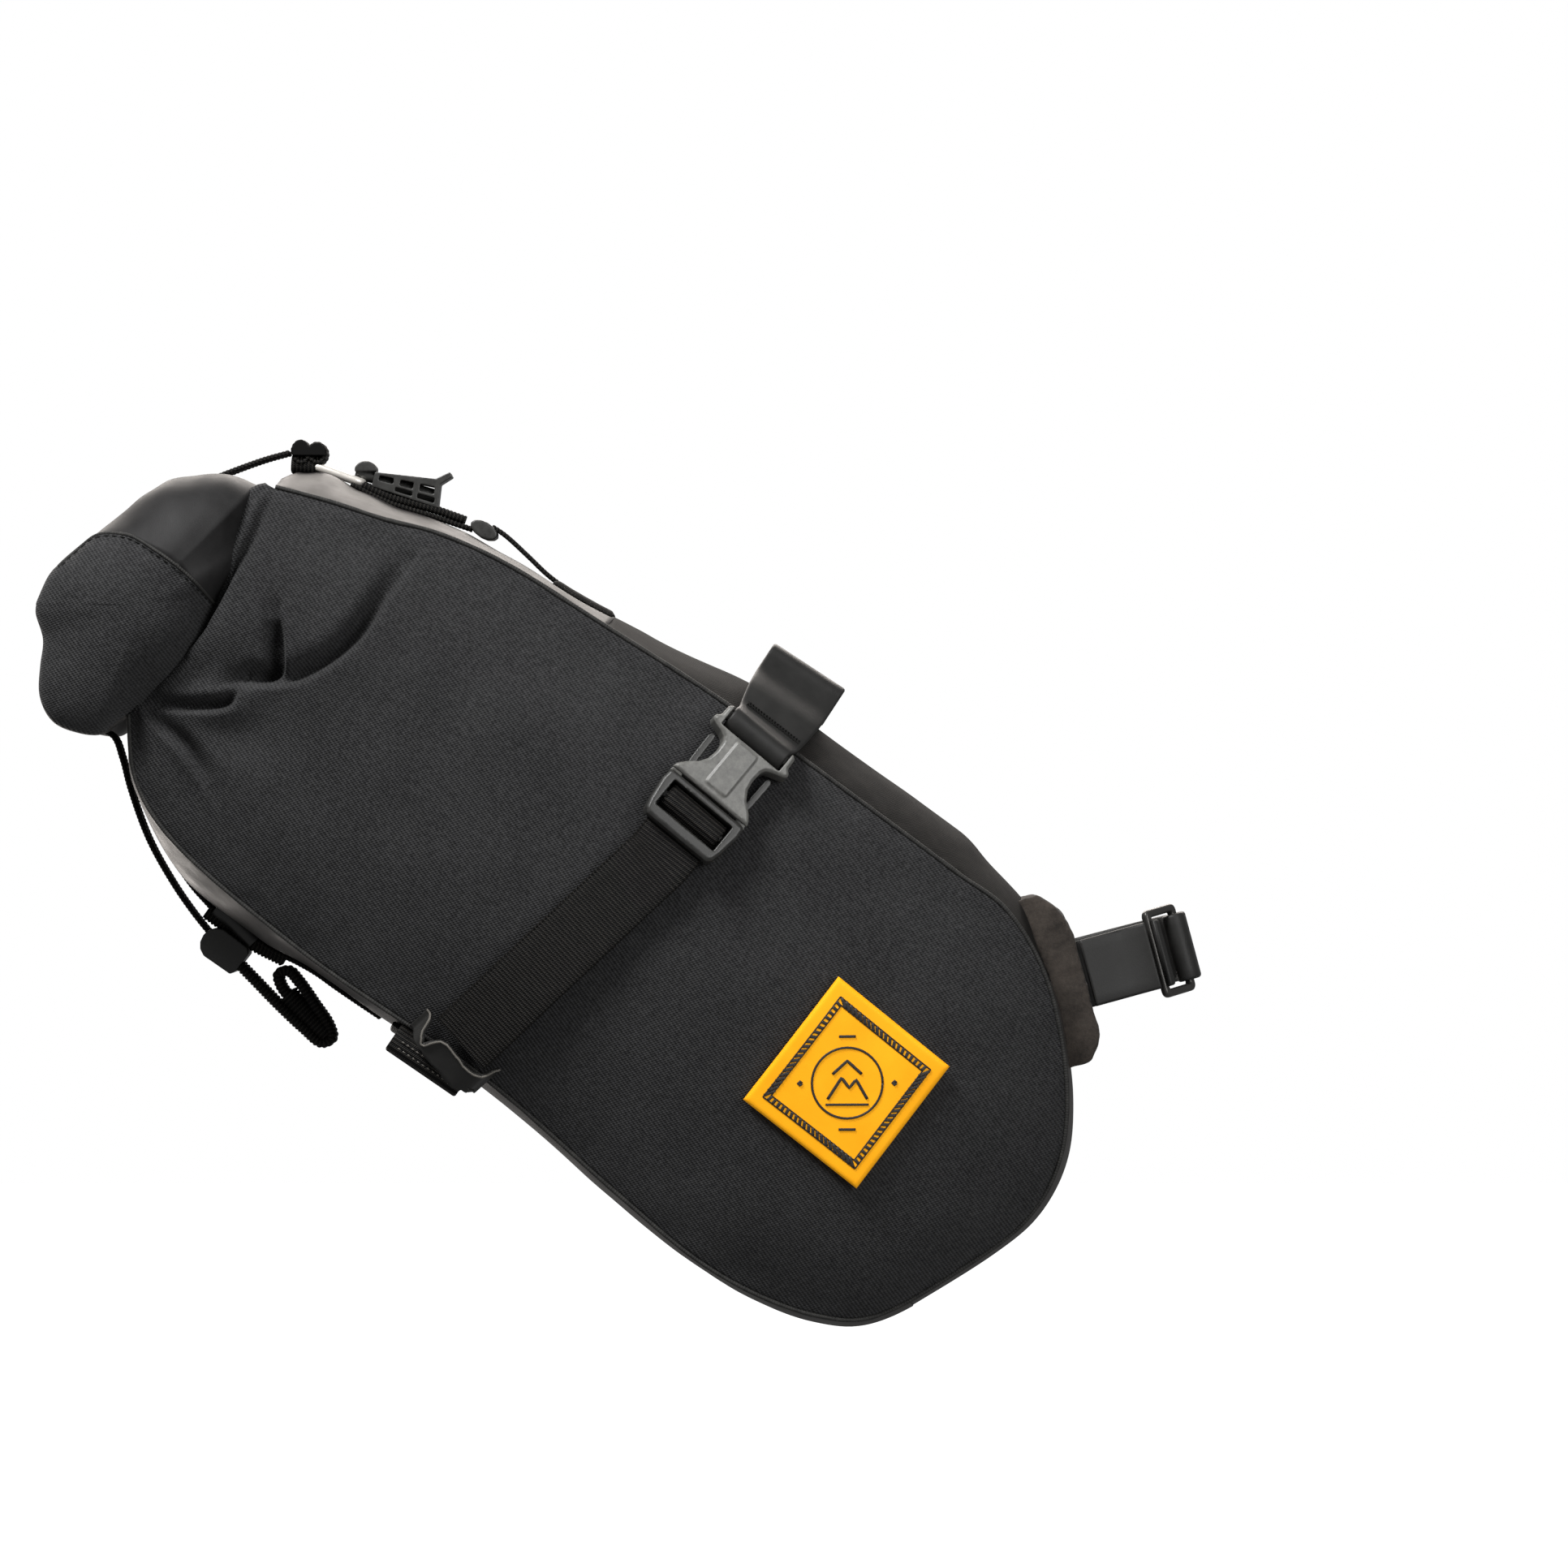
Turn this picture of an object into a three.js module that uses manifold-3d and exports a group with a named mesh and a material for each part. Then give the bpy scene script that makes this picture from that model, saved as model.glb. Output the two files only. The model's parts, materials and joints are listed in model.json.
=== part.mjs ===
// A roll-top saddle bag: stitched panels round a hollow, a rolled mouth, and the straps that hold it
// to a saddle's two rails and to the seatpost. Millimetres, +X forward, +Y to the left, +Z up.
// The origin is midway between the two saddle rails, where the rail straps pass over them.
import * as THREE from 'three';
import { mergeVertices } from 'three/addons/utils/BufferGeometryUtils.js';
import Module from 'manifold-3d';

const wasm = await Module();
wasm.setup();

// ---- Driving dimensions ----

const FABRIC = 1.2; // thickness of the panels
const WEBBING = 20; // width of the side webbing
const WEBBING_THICK = 1.4;
const CLOSURE_WEBBING = 16; // width of the closure webbing
const COATED_STRAP = 1.8; // thickness of the coated straps
const TOUCH = 0.4; // gap between pieces that touch

const RAIL_RADIUS = 3.5;
const RAIL_HALF_SPACING = 22;
const POST_RADIUS = 15.8;
const POST_LEAN = THREE.MathUtils.degToRad(-15);

// The seam that joins a side panel to the gusset, from the top of the mouth round the nose to the
// bottom of the mouth, in X and Z.
const SEAM = [
  [-153.2, 56.9], [-137, 52.6], [-120.3, 47.2], [-105, 43.2], [-85.5, 34.5], [-59.2, 18.1],
  [-23.7, -4.7], [23.7, -39], [46.5, -55.9], [60, -66], [71.7, -85.8], [77.8, -117.5],
  [75.5, -140], [66, -156.5], [46.3, -171.3], [20, -185], [5.4, -184.3], [-12.2, -178.1],
  [-29.8, -167.8], [-53.1, -148.3], [-90, -115.9], [-145.2, -77.3], [-183.5, -43.7],
  [-192.5, -28], [-194.5, -8],
];

// Places along the seam, as shares of its length.
const MOUTH_TOP = 0.004;
const REINFORCED = 0.154; // the top gusset changes to the reinforced one here
const NOSE_TOP = 0.396;
const NOSE_BOTTOM = 0.561;
const MOUTH_BOTTOM = 0.996;
const PANEL_SPLIT = 0.001; // half the gap between two gusset panels

// How far the gusset's middle stands proud of the seam, by share of the seam's length.
const CROWN = [
  [0, 5], [0.03, 6], [0.055, 4.2], [0.08, 3], [0.13, 2.8], [0.17, 4.5], [0.23, 9.5],
  [0.325, 10.5], [0.36, 6], [0.385, 2], [0.5, 3], [0.7, 2.8], [0.86, 3], [0.92, 7.5],
  [0.965, 3], [1, 1],
];
const HALF_WIDTH_NOSE = 33; // half the bag's width at the seam
const HALF_WIDTH_REAR = 48;
const SIDE_BULGE = 15; // how far a side panel stands out past its seams
const SEAM_CLEARANCE = 1.8; // from the seam line to a panel's edge
const BINDING_RADIUS = 1.1;

// ---- Building blocks ----

const V = (x, y, z) => new THREE.Vector3(x, y, z);

function closedGeometry(points, triangles) {
  const position = new Float32Array(points.flatMap((p) => [p.x, p.y, p.z]));
  const volume = triangles.reduce((sum, [a, b, c]) =>
    sum + points[a].dot(V(0, 0, 0).crossVectors(points[b], points[c])), 0);
  const outward = volume > 0 ? triangles : triangles.map(([a, b, c]) => [a, c, b]);
  const geometry = new THREE.BufferGeometry();
  geometry.setAttribute('position', new THREE.BufferAttribute(position, 3));
  geometry.setIndex(outward.flat());
  return geometry;
}

function capTriangles(ring, first) {
  const normal = V(0, 0, 0);
  ring.forEach((p, i) => normal.add(V(0, 0, 0).crossVectors(p, ring[(i + 1) % ring.length])));
  normal.normalize();
  const across = ring[1].clone().sub(ring[0]).normalize();
  const up = V(0, 0, 0).crossVectors(normal, across);
  const flat = ring.map((p) => new THREE.Vector2(p.dot(across), p.dot(up)));
  return THREE.ShapeUtils.triangulateShape(flat, []).map((t) => t.map((i) => i + first));
}

// A closed body through rings of equal point counts, with flat ends.
function loft(rings) {
  const n = rings[0].length;
  const triangles = [];
  for (let i = 0; i + 1 < rings.length; i += 1) {
    for (let j = 0; j < n; j += 1) {
      const a = i * n + j;
      const b = i * n + ((j + 1) % n);
      triangles.push([a, b, b + n], [a, b + n, a + n]);
    }
  }
  const last = (rings.length - 1) * n;
  capTriangles(rings[0], 0).forEach(([a, b, c]) => triangles.push([a, c, b]));
  capTriangles(rings[rings.length - 1], last).forEach((t) => triangles.push(t));
  return closedGeometry(rings.flat(), triangles);
}

// A closed sheet between two grids of points of the same size.
function sheet(outer, inner) {
  const rows = outer.length;
  const columns = outer[0].length;
  const at = (layer, i, j) => layer * rows * columns + i * columns + j;
  const triangles = [];
  const quad = (a, b, c, d) => triangles.push([a, b, c], [a, c, d]);
  for (let i = 0; i + 1 < rows; i += 1) {
    for (let j = 0; j + 1 < columns; j += 1) {
      quad(at(0, i, j), at(0, i, j + 1), at(0, i + 1, j + 1), at(0, i + 1, j));
      quad(at(1, i, j), at(1, i + 1, j), at(1, i + 1, j + 1), at(1, i, j + 1));
    }
    const end = columns - 1;
    quad(at(0, i, 0), at(0, i + 1, 0), at(1, i + 1, 0), at(1, i, 0));
    quad(at(0, i + 1, end), at(0, i, end), at(1, i, end), at(1, i + 1, end));
  }
  for (let j = 0; j + 1 < columns; j += 1) {
    const end = rows - 1;
    quad(at(0, 0, j + 1), at(0, 0, j), at(1, 0, j), at(1, 0, j + 1));
    quad(at(0, end, j), at(0, end, j + 1), at(1, end, j + 1), at(1, end, j));
  }
  return closedGeometry([...outer.flat(), ...inner.flat()], triangles);
}

// A flat strap: a rectangle carried along stations that give its middle and its width's direction.
function strap(stations, width, thickness) {
  const rings = stations.map(({ p, w, width: own }, i) => {
    const before = stations[Math.max(i - 1, 0)].p;
    const after = stations[Math.min(i + 1, stations.length - 1)].p;
    const tangent = after.clone().sub(before).normalize();
    const normal = V(0, 0, 0).crossVectors(tangent, w).normalize();
    const across = V(0, 0, 0).crossVectors(normal, tangent).normalize();
    return [[1, 1], [-1, 1], [-1, -1], [1, -1]].map(([s, t]) => p.clone()
      .addScaledVector(across, s * (own ?? width) / 2)
      .addScaledVector(normal, t * thickness / 2));
  });
  return loft(rings);
}

// Evenly spaced points on a smooth curve through the given ones.
function smooth(points, steps) {
  return new THREE.CatmullRomCurve3(points, false, 'centripetal').getSpacedPoints(steps);
}

// An outline in X and Z, carried across the bag from one Y to another.
function acrossY(outline, y0, y1) {
  return loft([y0, y1].map((y) => outline.map(([x, z]) => V(x, y, z))));
}

function plate(shape, depth, bevel = 0) {
  const geometry = new THREE.ExtrudeGeometry(shape, {
    depth: depth - 2 * bevel,
    bevelEnabled: bevel > 0,
    bevelSize: bevel,
    bevelThickness: bevel,
    bevelOffset: -bevel,
    bevelSegments: 1,
    curveSegments: 4,
  });
  geometry.translate(0, 0, bevel);
  return geometry;
}

function roundedRectangle(x0, y0, x1, y1, r) {
  const shape = new THREE.Shape();
  shape.moveTo(x0 + r, y0);
  shape.lineTo(x1 - r, y0);
  shape.absarc(x1 - r, y0 + r, r, -Math.PI / 2, 0);
  shape.lineTo(x1, y1 - r);
  shape.absarc(x1 - r, y1 - r, r, 0, Math.PI / 2);
  shape.lineTo(x0 + r, y1);
  shape.absarc(x0 + r, y1 - r, r, Math.PI / 2, Math.PI);
  shape.lineTo(x0, y0 + r);
  shape.absarc(x0 + r, y0 + r, r, Math.PI, 1.5 * Math.PI);
  return shape;
}

function box(x0, x1, y0, y1, z0, z1) {
  const geometry = new THREE.BoxGeometry(x1 - x0, y1 - y0, z1 - z0);
  return geometry.translate((x0 + x1) / 2, (y0 + y1) / 2, (z0 + z1) / 2);
}

function solid(geometry) {
  const bare = geometry.clone();
  bare.deleteAttribute('normal');
  bare.deleteAttribute('uv');
  const merged = mergeVertices(bare, 1e-4);
  return new wasm.Manifold(new wasm.Mesh({
    numProp: 3,
    vertProperties: merged.attributes.position.array,
    triVerts: new Uint32Array(merged.index.array),
  }));
}

function geometryOf(manifold) {
  const mesh = manifold.getMesh();
  const geometry = new THREE.BufferGeometry();
  geometry.setAttribute('position', new THREE.BufferAttribute(mesh.vertProperties, 3));
  geometry.setIndex(new THREE.BufferAttribute(mesh.triVerts, 1));
  return geometry;
}

const cut = (geometry, ...tools) =>
  geometryOf(tools.reduce((body, tool) => body.subtract(solid(tool)), solid(geometry)));
const join = (geometry, ...others) =>
  geometryOf(others.reduce((body, other) => body.add(solid(other)), solid(geometry)));

const bag = new THREE.Group();

function add(name, geometry, material) {
  const mesh = new THREE.Mesh(geometry, material);
  mesh.name = name;
  bag.add(mesh);
}

function mirrored(geometry) {
  const points = [];
  const position = geometry.attributes.position;
  for (let i = 0; i < position.count; i += 1) {
    points.push(V(position.getX(i), -position.getY(i), position.getZ(i)));
  }
  const index = geometry.index
    ? Array.from(geometry.index.array)
    : Array.from({ length: position.count }, (_, i) => i);
  const triangles = [];
  for (let i = 0; i < index.length; i += 3) {
    triangles.push([index[i], index[i + 2], index[i + 1]]);
  }
  return closedGeometry(points, triangles);
}

// The visible right side is at -Y, and its twin on the left is its mirror image.
function addPair(name, geometry, material) {
  add(`${name}_right`, geometry, material);
  add(`${name}_left`, mirrored(geometry), material);
}

// ---- Materials ----

const material = (color, roughness, metalness = 0) =>
  new THREE.MeshStandardMaterial({ color, roughness, metalness });
const WOVEN = material(0x303031, 0.9);
const COATED = material(0x45423f, 0.45);
const REINFORCED_FABRIC = material(0x1d1d1d, 0.7);
const BINDING = material(0x222222, 0.8);
const FOAM = material(0x3e3732, 0.95);
const AMBER = material(0xffb816, 0.55);
const STRAP = material(0x32322f, 0.6);
const RIBBED = material(0x1c1b18, 0.85);
const PLASTIC = material(0x2b2b2a, 0.45);
const STEEL = material(0xc9c5bd, 0.25, 1);
const SHEET_PLASTIC = material(0x15151a, 0.5);

// ---- The bag's surface ----

const seamLoop = new THREE.CatmullRomCurve3(SEAM.map(([x, z]) => V(x, 0, z)), false, 'centripetal');
seamLoop.arcLengthDivisions = 600;

function fromTable(table, at) {
  const k = Math.max(1, table.findIndex(([edge]) => edge >= at));
  const [a, low] = table[k - 1];
  const [b, high] = table[k];
  return low + (high - low) * THREE.MathUtils.smoothstep(at, a, b);
}

const seamAt = (p) => seamLoop.getPointAt(p);
const crownAt = (p) => fromTable(CROWN, p);

function outwardAt(p) {
  const t = seamLoop.getTangentAt(p);
  return V(-t.z, 0, t.x).normalize();
}

function halfWidthAt(p) {
  const fromNose = Math.abs(2 * p - 1);
  const share = THREE.MathUtils.smoothstep(fromNose, 0, 0.6);
  return HALF_WIDTH_NOSE + (HALF_WIDTH_REAR - HALF_WIDTH_NOSE) * share;
}

// A point on the gusset: p along the seam, t across from -1 to 1, lift above the cloth.
function gussetPoint(p, t, lift) {
  const rise = crownAt(p) * (1 - Math.abs(t) ** 2.5) + lift;
  const point = seamAt(p).addScaledVector(outwardAt(p), rise);
  point.y = t * (halfWidthAt(p) - SEAM_CLEARANCE);
  return point;
}

function gussetSheet(p0, p1, steps, t0, t1, lift, thickness) {
  const across = 8;
  const layer = (up) => Array.from({ length: steps + 1 }, (_, i) =>
    Array.from({ length: across + 1 }, (_unused, j) =>
      gussetPoint(p0 + ((p1 - p0) * i) / steps, t0 + ((t1 - t0) * j) / across, up)));
  return sheet(layer(lift + thickness), layer(lift));
}

// The side panel is ruled between the seam's top at a and its bottom at 1 - a.
function ruling(a) {
  const top = seamAt(a).addScaledVector(outwardAt(a), -SEAM_CLEARANCE);
  const bottom = seamAt(1 - a).addScaledVector(outwardAt(1 - a), -SEAM_CLEARANCE);
  return { top, bottom };
}

const FULL_HEIGHT = 135; // rulings of this length bulge fully

function sideHalfWidth(a, v) {
  const { top, bottom } = ruling(a);
  const depth = Math.min(top.distanceTo(bottom) / FULL_HEIGHT, 1) ** 1.3;
  const profile = Math.max(0, 1 - Math.abs(2 * v - 1) ** 2.4);
  return halfWidthAt(a) + SIDE_BULGE * depth * profile;
}

function sidePoint(a, v, lift) {
  const { top, bottom } = ruling(a);
  const point = top.lerp(bottom, v);
  point.y = -sideHalfWidth(a, v) - lift;
  return point;
}

const NOSE_RULING = 0.496;

// Half the bag's width at a point of its side given by X and Z.
function sideWidthAt(x, z) {
  let low = 0;
  let high = NOSE_RULING;
  const beyond = (a) => {
    const { top, bottom } = ruling(a);
    return (bottom.x - top.x) * (z - top.z) - (bottom.z - top.z) * (x - top.x);
  };
  const start = Math.sign(beyond(low));
  for (let i = 0; i < 24; i += 1) {
    const middle = (low + high) / 2;
    if (Math.sign(beyond(middle)) === start) {
      low = middle;
    } else {
      high = middle;
    }
  }
  const { top, bottom } = ruling(low);
  const run = bottom.clone().sub(top);
  const v = V(x, 0, z).sub(top).dot(run) / run.lengthSq();
  return sideHalfWidth(low, v);
}

function onSide(x, z, lift) {
  const step = 2;
  const slopeX = (sideWidthAt(x + step, z) - sideWidthAt(x - step, z)) / (2 * step);
  const slopeZ = (sideWidthAt(x, z + step) - sideWidthAt(x, z - step)) / (2 * step);
  const normal = V(-slopeX, -1, -slopeZ).normalize();
  const point = V(x, -sideWidthAt(x, z), z).addScaledVector(normal, lift);
  return { point, normal };
}

// ---- Panels ----

const STIFFENER = [0.43, 0.8, 0.8]; // its start and end along the seam, and its reach across

function sidePanel() {
  const stations = 26;
  const across = 10;
  const layer = (lift) => Array.from({ length: stations + 1 }, (_, i) => {
    const a = NOSE_RULING * Math.sin((i / stations) * Math.PI / 2);
    return Array.from({ length: across + 1 }, (_unused, j) => sidePoint(a, j / across, lift));
  });
  return sheet(layer(0), layer(-FABRIC));
}

function binding() {
  const steps = 60;
  const sides = 6;
  const rings = Array.from({ length: steps + 1 }, (_, i) => {
    const p = MOUTH_TOP + ((MOUTH_BOTTOM - MOUTH_TOP) * i) / steps;
    const middle = seamAt(p);
    middle.y = -halfWidthAt(p);
    return Array.from({ length: sides }, (_unused, j) => {
      const turn = (j / sides) * 2 * Math.PI;
      return middle.clone()
        .addScaledVector(outwardAt(p), BINDING_RADIUS * Math.cos(turn))
        .add(V(0, BINDING_RADIUS * Math.sin(turn), 0));
    });
  });
  return loft(rings);
}

function panels() {
  const gap = PANEL_SPLIT;
  const gusset = (p0, p1, steps) => gussetSheet(p0, p1, steps, -1, 1, -FABRIC, FABRIC);
  addPair('side_panel', sidePanel(), WOVEN);
  addPair('seam_binding', binding(), BINDING);
  add('top_gusset_rear', gusset(MOUTH_TOP, REINFORCED - gap, 9), COATED);
  add('top_gusset_front', gusset(REINFORCED + gap, NOSE_TOP - gap, 14), REINFORCED_FABRIC);
  add('nose_gusset', gusset(NOSE_TOP + gap, NOSE_BOTTOM - gap, 14), COATED);
  add('bottom_gusset', gusset(NOSE_BOTTOM + gap, MOUTH_BOTTOM, 26), COATED);
  const sheetDepth = 1;
  const inside = -FABRIC - 2.5 * TOUCH - sheetDepth;
  const [from, to, reach] = STIFFENER;
  add('bottom_stiffener', gussetSheet(from, to, 24, -reach, reach, inside, sheetDepth),
    SHEET_PLASTIC);
}

// ---- Badge ----

const BADGE_CORNERS = [[11, -85.2], [43.1, -111.2], [16.3, -146.3], [-16.3, -120.5]];
const BADGE_THICK = 1.8;

function badge() {
  const [a, b, c, d] = BADGE_CORNERS.map(([x, z]) => new THREE.Vector2(x, z));
  const cells = 6;
  const layer = (lift) => Array.from({ length: cells + 1 }, (_, i) =>
    Array.from({ length: cells + 1 }, (_unused, j) => {
      const one = a.clone().lerp(b, i / cells);
      const other = d.clone().lerp(c, i / cells);
      const at = one.lerp(other, j / cells);
      return onSide(at.x, at.y, lift).point;
    }));
  add('badge', sheet(layer(TOUCH + BADGE_THICK), layer(TOUCH)), AMBER);
}

// ---- Side-release buckle: lengths l down the strap, widths w forward, heights n outward ----

const BUCKLE_TOP = [-15.6, -20.4]; // where the rail strap's bar lies, in X and Z
const BUCKLE_END = [-37.2, -46.6];
const BAR_HALF = 1.3; // the bar is square, so a strap round it clears its corners
const BAR_RADIUS = 1.9;
const BAR_HEIGHT = 4;
const BAR_AT = -3.5;
const SOCKET_MOUTH = 19.5;
const PLUG_TOP = 20.2;
const PLUG_END = 35.2;
const SLOT_HALF = 10.8;
const BUCKLE_DEPTH = 8;
const BUCKLE_HALF = 14;
const PLUG_DEPTH = 7.6;
const PLUG_TRAVEL = 18;
const PRONG_ROOT = [PLUG_TOP - 0.5, 8.7];

function buckleFrame() {
  const top = onSide(...BUCKLE_TOP, 0);
  const end = onSide(...BUCKLE_END, 0);
  const along = end.point.clone().sub(top.point).normalize();
  const out = top.normal.clone().add(end.normal);
  out.addScaledVector(along, -out.dot(along)).normalize();
  const across = V(0, 0, 0).crossVectors(out, along);
  let rise = 0;
  for (let l = -3; l <= PLUG_END + PLUG_TRAVEL; l += 3) {
    for (const w of [-BUCKLE_HALF, 0, BUCKLE_HALF]) {
      const guess = top.point.clone().addScaledVector(along, l).addScaledVector(across, w);
      const cloth = onSide(guess.x, guess.z, 0).point;
      rise = Math.max(rise, cloth.sub(top.point).dot(out));
    }
  }
  const origin = top.point.clone().addScaledVector(out, rise + 2 * TOUCH);
  return { origin, along, across, out };
}

const BUCKLE = buckleFrame();
const BUCKLE_MATRIX = new THREE.Matrix4()
  .makeBasis(BUCKLE.along, BUCKLE.across, BUCKLE.out)
  .setPosition(BUCKLE.origin);
const inBuckle = (l, w, n) => V(l, w, n).applyMatrix4(BUCKLE_MATRIX);
const placed = (geometry) => geometry.applyMatrix4(BUCKLE_MATRIX);

const flipped = (outline) => outline.map(([l, w]) => [l, -w]).reverse();

// A plate from half its outline, given as lengths and widths on the buckle's front side.
function symmetricPlate(frontHalf, depth, bevel) {
  const outline = [...frontHalf, ...flipped(frontHalf)];
  return plate(new THREE.Shape(outline.map(([l, w]) => new THREE.Vector2(l, w))), depth, bevel);
}

function socket() {
  const frontHalf = [[-5.9, 11.2], [-5, 12.3], [-1.6, 12.5], [-0.6, 13.6], [0.4, 13.9], [1.2, 13.1],
    [1.8, 11.4], [2.4, 9.4], [3.2, 7.9], [4.6, 7.1], [8, 6.9], [11, 7.4], [13.6, 9], [16, 11.8],
    [18, 13.4], [SOCKET_MOUTH, 13.9]];
  const body = symmetricPlate(frontHalf, BUCKLE_DEPTH, 0.8);
  const slotEnd = 0.8;
  const past = 9; // well outside the buckle
  const strapSlot = box(BAR_AT + BAR_HALF, slotEnd, -SLOT_HALF, SLOT_HALF, -1, past);
  const underBar = box(-past, slotEnd, -SLOT_HALF, SLOT_HALF, -1, BAR_HEIGHT - BAR_HALF);
  const overBar = box(-past, slotEnd, -SLOT_HALF, SLOT_HALF, BAR_HEIGHT + BAR_HALF, past);
  const behindBar = box(-past, BAR_AT - BAR_HALF, -SLOT_HALF, SLOT_HALF, -1, past);
  const throat = box(6.6, SOCKET_MOUTH + 1, -15, 15, 2, 6);
  const rib = plate(roundedRectangle(1.6, -3.8, 17.4, 3.8, 1), 1.6, 0.4).translate(0, 0, 7);
  return join(cut(body, strapSlot, underBar, overBar, behindBar, throat), rib);
}

function plug() {
  const frontHalf = [[PLUG_TOP, 12.9], [PLUG_TOP + 0.9, 13.7], [24, BUCKLE_HALF], [31, 13.1],
    [34, 12.3], [PLUG_END, 11]];
  const body = symmetricPlate(frontHalf, PLUG_DEPTH, 0.8);
  const past = 9; // well outside the plug
  const slotStart = 22.4;
  const nearSlot = box(slotStart, 25.8, -SLOT_HALF, SLOT_HALF, -1, past);
  const farSlot = box(27.8, 31.6, -SLOT_HALF, SLOT_HALF, -1, past);
  const underBars = box(slotStart, PLUG_END + 1, -SLOT_HALF, SLOT_HALF, -1, 3.6);
  const overMiddleBar = box(25, 28.6, -SLOT_HALF, SLOT_HALF, 5.2, past);
  const guide = box(8, PLUG_TOP + 1, -1.6, 1.6, 2.6, 5.4);
  return join(cut(body, nearSlot, farSlot, underBars, overMiddleBar), guide);
}

// One sprung prong of the plug. Its long outer edge is what a finger presses.
function prong(side) {
  const [root, middle] = PRONG_ROOT;
  const outline = [[root, middle - 1.3], [root, middle + 1.3], [16.5, 10.9], [14, 11.4], [5, 11.6],
    [3.9, 11], [3.9, 9.9], [5, 9.5], [13, 9.3], [15.5, 8.4]];
  const shape = new THREE.Shape(outline.map(([l, w]) => new THREE.Vector2(l, w * side)));
  return plate(shape, 3.2).translate(0, 0, 2.4);
}

function buckles() {
  addPair('buckle_socket', placed(socket()), PLASTIC);
  addPair('buckle_plug', placed(plug()), PLASTIC);
  addPair('prong_front', placed(prong(1)), PLASTIC);
  addPair('prong_rear', placed(prong(-1)), PLASTIC);
}

// ---- Side webbing: up from the bottom edge, through the plug's two slots, and back down ----

const WEBBING_LOW = [-97, -103.5]; // the webbing's middle where it turns under the bag
const KEEPER_TOP = [-82.5, -89.5];
const KEEPER_LENGTH = 15;

function webbingRun(lift) {
  const start = inBuckle(PLUG_END + 7, 0, 0);
  const steps = 12;
  return Array.from({ length: steps + 1 }, (_, i) => {
    const share = i / steps;
    const x = start.x + (WEBBING_LOW[0] - start.x) * share;
    const z = start.z + (WEBBING_LOW[1] - start.z) * share;
    return onSide(x, z, lift).point;
  });
}

function sideWebbing() {
  const lower = 0.7;
  const upper = 2.55;
  const inPlug = [
    [PLUG_END, lower], [28.6, lower], [24.8, lower + 0.2], [23.5, 3.4], [23.8, 5.4], [25.3, 6.3],
    [28.1, 6.3], [29.4, 5.2], [30, 3.7], [31.6, upper + 0.1], [PLUG_END, upper],
  ].map(([l, n]) => inBuckle(l, 0, n));
  const path = [
    ...webbingRun(1 + lower).reverse(),
    ...inPlug,
    ...webbingRun(1 + upper),
  ];
  const runLine = path[0].clone().sub(inBuckle(PLUG_END, 0, 0)).normalize();
  const stations = path.map((p) => {
    const low = THREE.MathUtils.clamp(p.distanceTo(inBuckle(27, 0, 3)) / 25, 0, 1);
    const across = V(0, 0, 0).crossVectors(BUCKLE.out, runLine).normalize();
    return { p, w: BUCKLE.across.clone().lerp(across, low).normalize() };
  });
  addPair('side_webbing', strap(stations, WEBBING, WEBBING_THICK), RIBBED);
}

// A bridge of coated fabric over both layers of the webbing, sewn to the side panel by its feet.
function keeper() {
  const foot = onSide(...KEEPER_TOP, 0);
  const low = onSide(...WEBBING_LOW, 0);
  const along = low.point.clone().sub(foot.point).normalize();
  const out = foot.normal.clone().add(low.normal);
  out.addScaledVector(along, -out.dot(along)).normalize();
  const across = V(0, 0, 0).crossVectors(out, along);
  const wall = 1;
  const inner = WEBBING / 2 + 0.8;
  const rise = 6.6;
  const sewn = 4;
  const footEdge = inner + wall + sewn;
  const over = [[footEdge, 0], [footEdge, wall], [inner + wall, wall],
    [inner + wall, rise - 1], [inner, rise]];
  const under = [[inner, 0], [inner, rise - wall - 0.8], [inner - 0.8, rise - wall]];
  const flip = (points) => points.map(([x, y]) => [-x, y]);
  const outline = [...over, ...flip(over).reverse(), ...flip(under), ...under.slice().reverse()];
  const shape = new THREE.Shape(outline.map(([x, y]) => new THREE.Vector2(x, y)));
  const geometry = plate(shape, KEEPER_LENGTH);
  const origin = foot.point.clone().addScaledVector(out, 2 * TOUCH);
  const matrix = new THREE.Matrix4().makeBasis(across, out, along).setPosition(origin);
  addPair('webbing_keeper', geometry.applyMatrix4(matrix), STRAP);
}

// The webbing's hemmed end, tucked under the bottom edge, and the band that joins both sides.
const BAND_AT = 0.806;
const BAND_REACH = 0.93; // how far across the gusset the band runs
const HEM_THICK = 3.4;

function underBag() {
  const w = seamLoop.getTangentAt(BAND_AT);
  const out = outwardAt(BAND_AT);
  const steps = 16;
  const stations = Array.from({ length: steps + 1 }, (_, i) => ({
    p: gussetPoint(BAND_AT, BAND_REACH * (-1 + (2 * i) / steps), TOUCH + WEBBING_THICK / 2 + 0.3),
    w,
  }));
  add('under_webbing', strap(stations, WEBBING, WEBBING_THICK), RIBBED);
  const end = [-BAND_REACH, -0.84, -0.72].map((t, i) => ({
    p: gussetPoint(BAND_AT, t, 4.6 + i * 0.2),
    w,
  }));
  end.forEach(({ p }) => p.addScaledVector(out, 0.3));
  addPair('webbing_end', strap(end, WEBBING + 3, HEM_THICK), RIBBED);
}

// ---- Rail straps ----

const RAIL_ALONG = V(0.84, 0, -0.55).normalize();
const RAIL_UP = V(0.55, 0, 0.84).normalize();
const RAIL_STRAP_WIDTH = 25;
const BUCKLE_STRAP_WIDTH = 20.4; // the same strap where it narrows into the buckle

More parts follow.
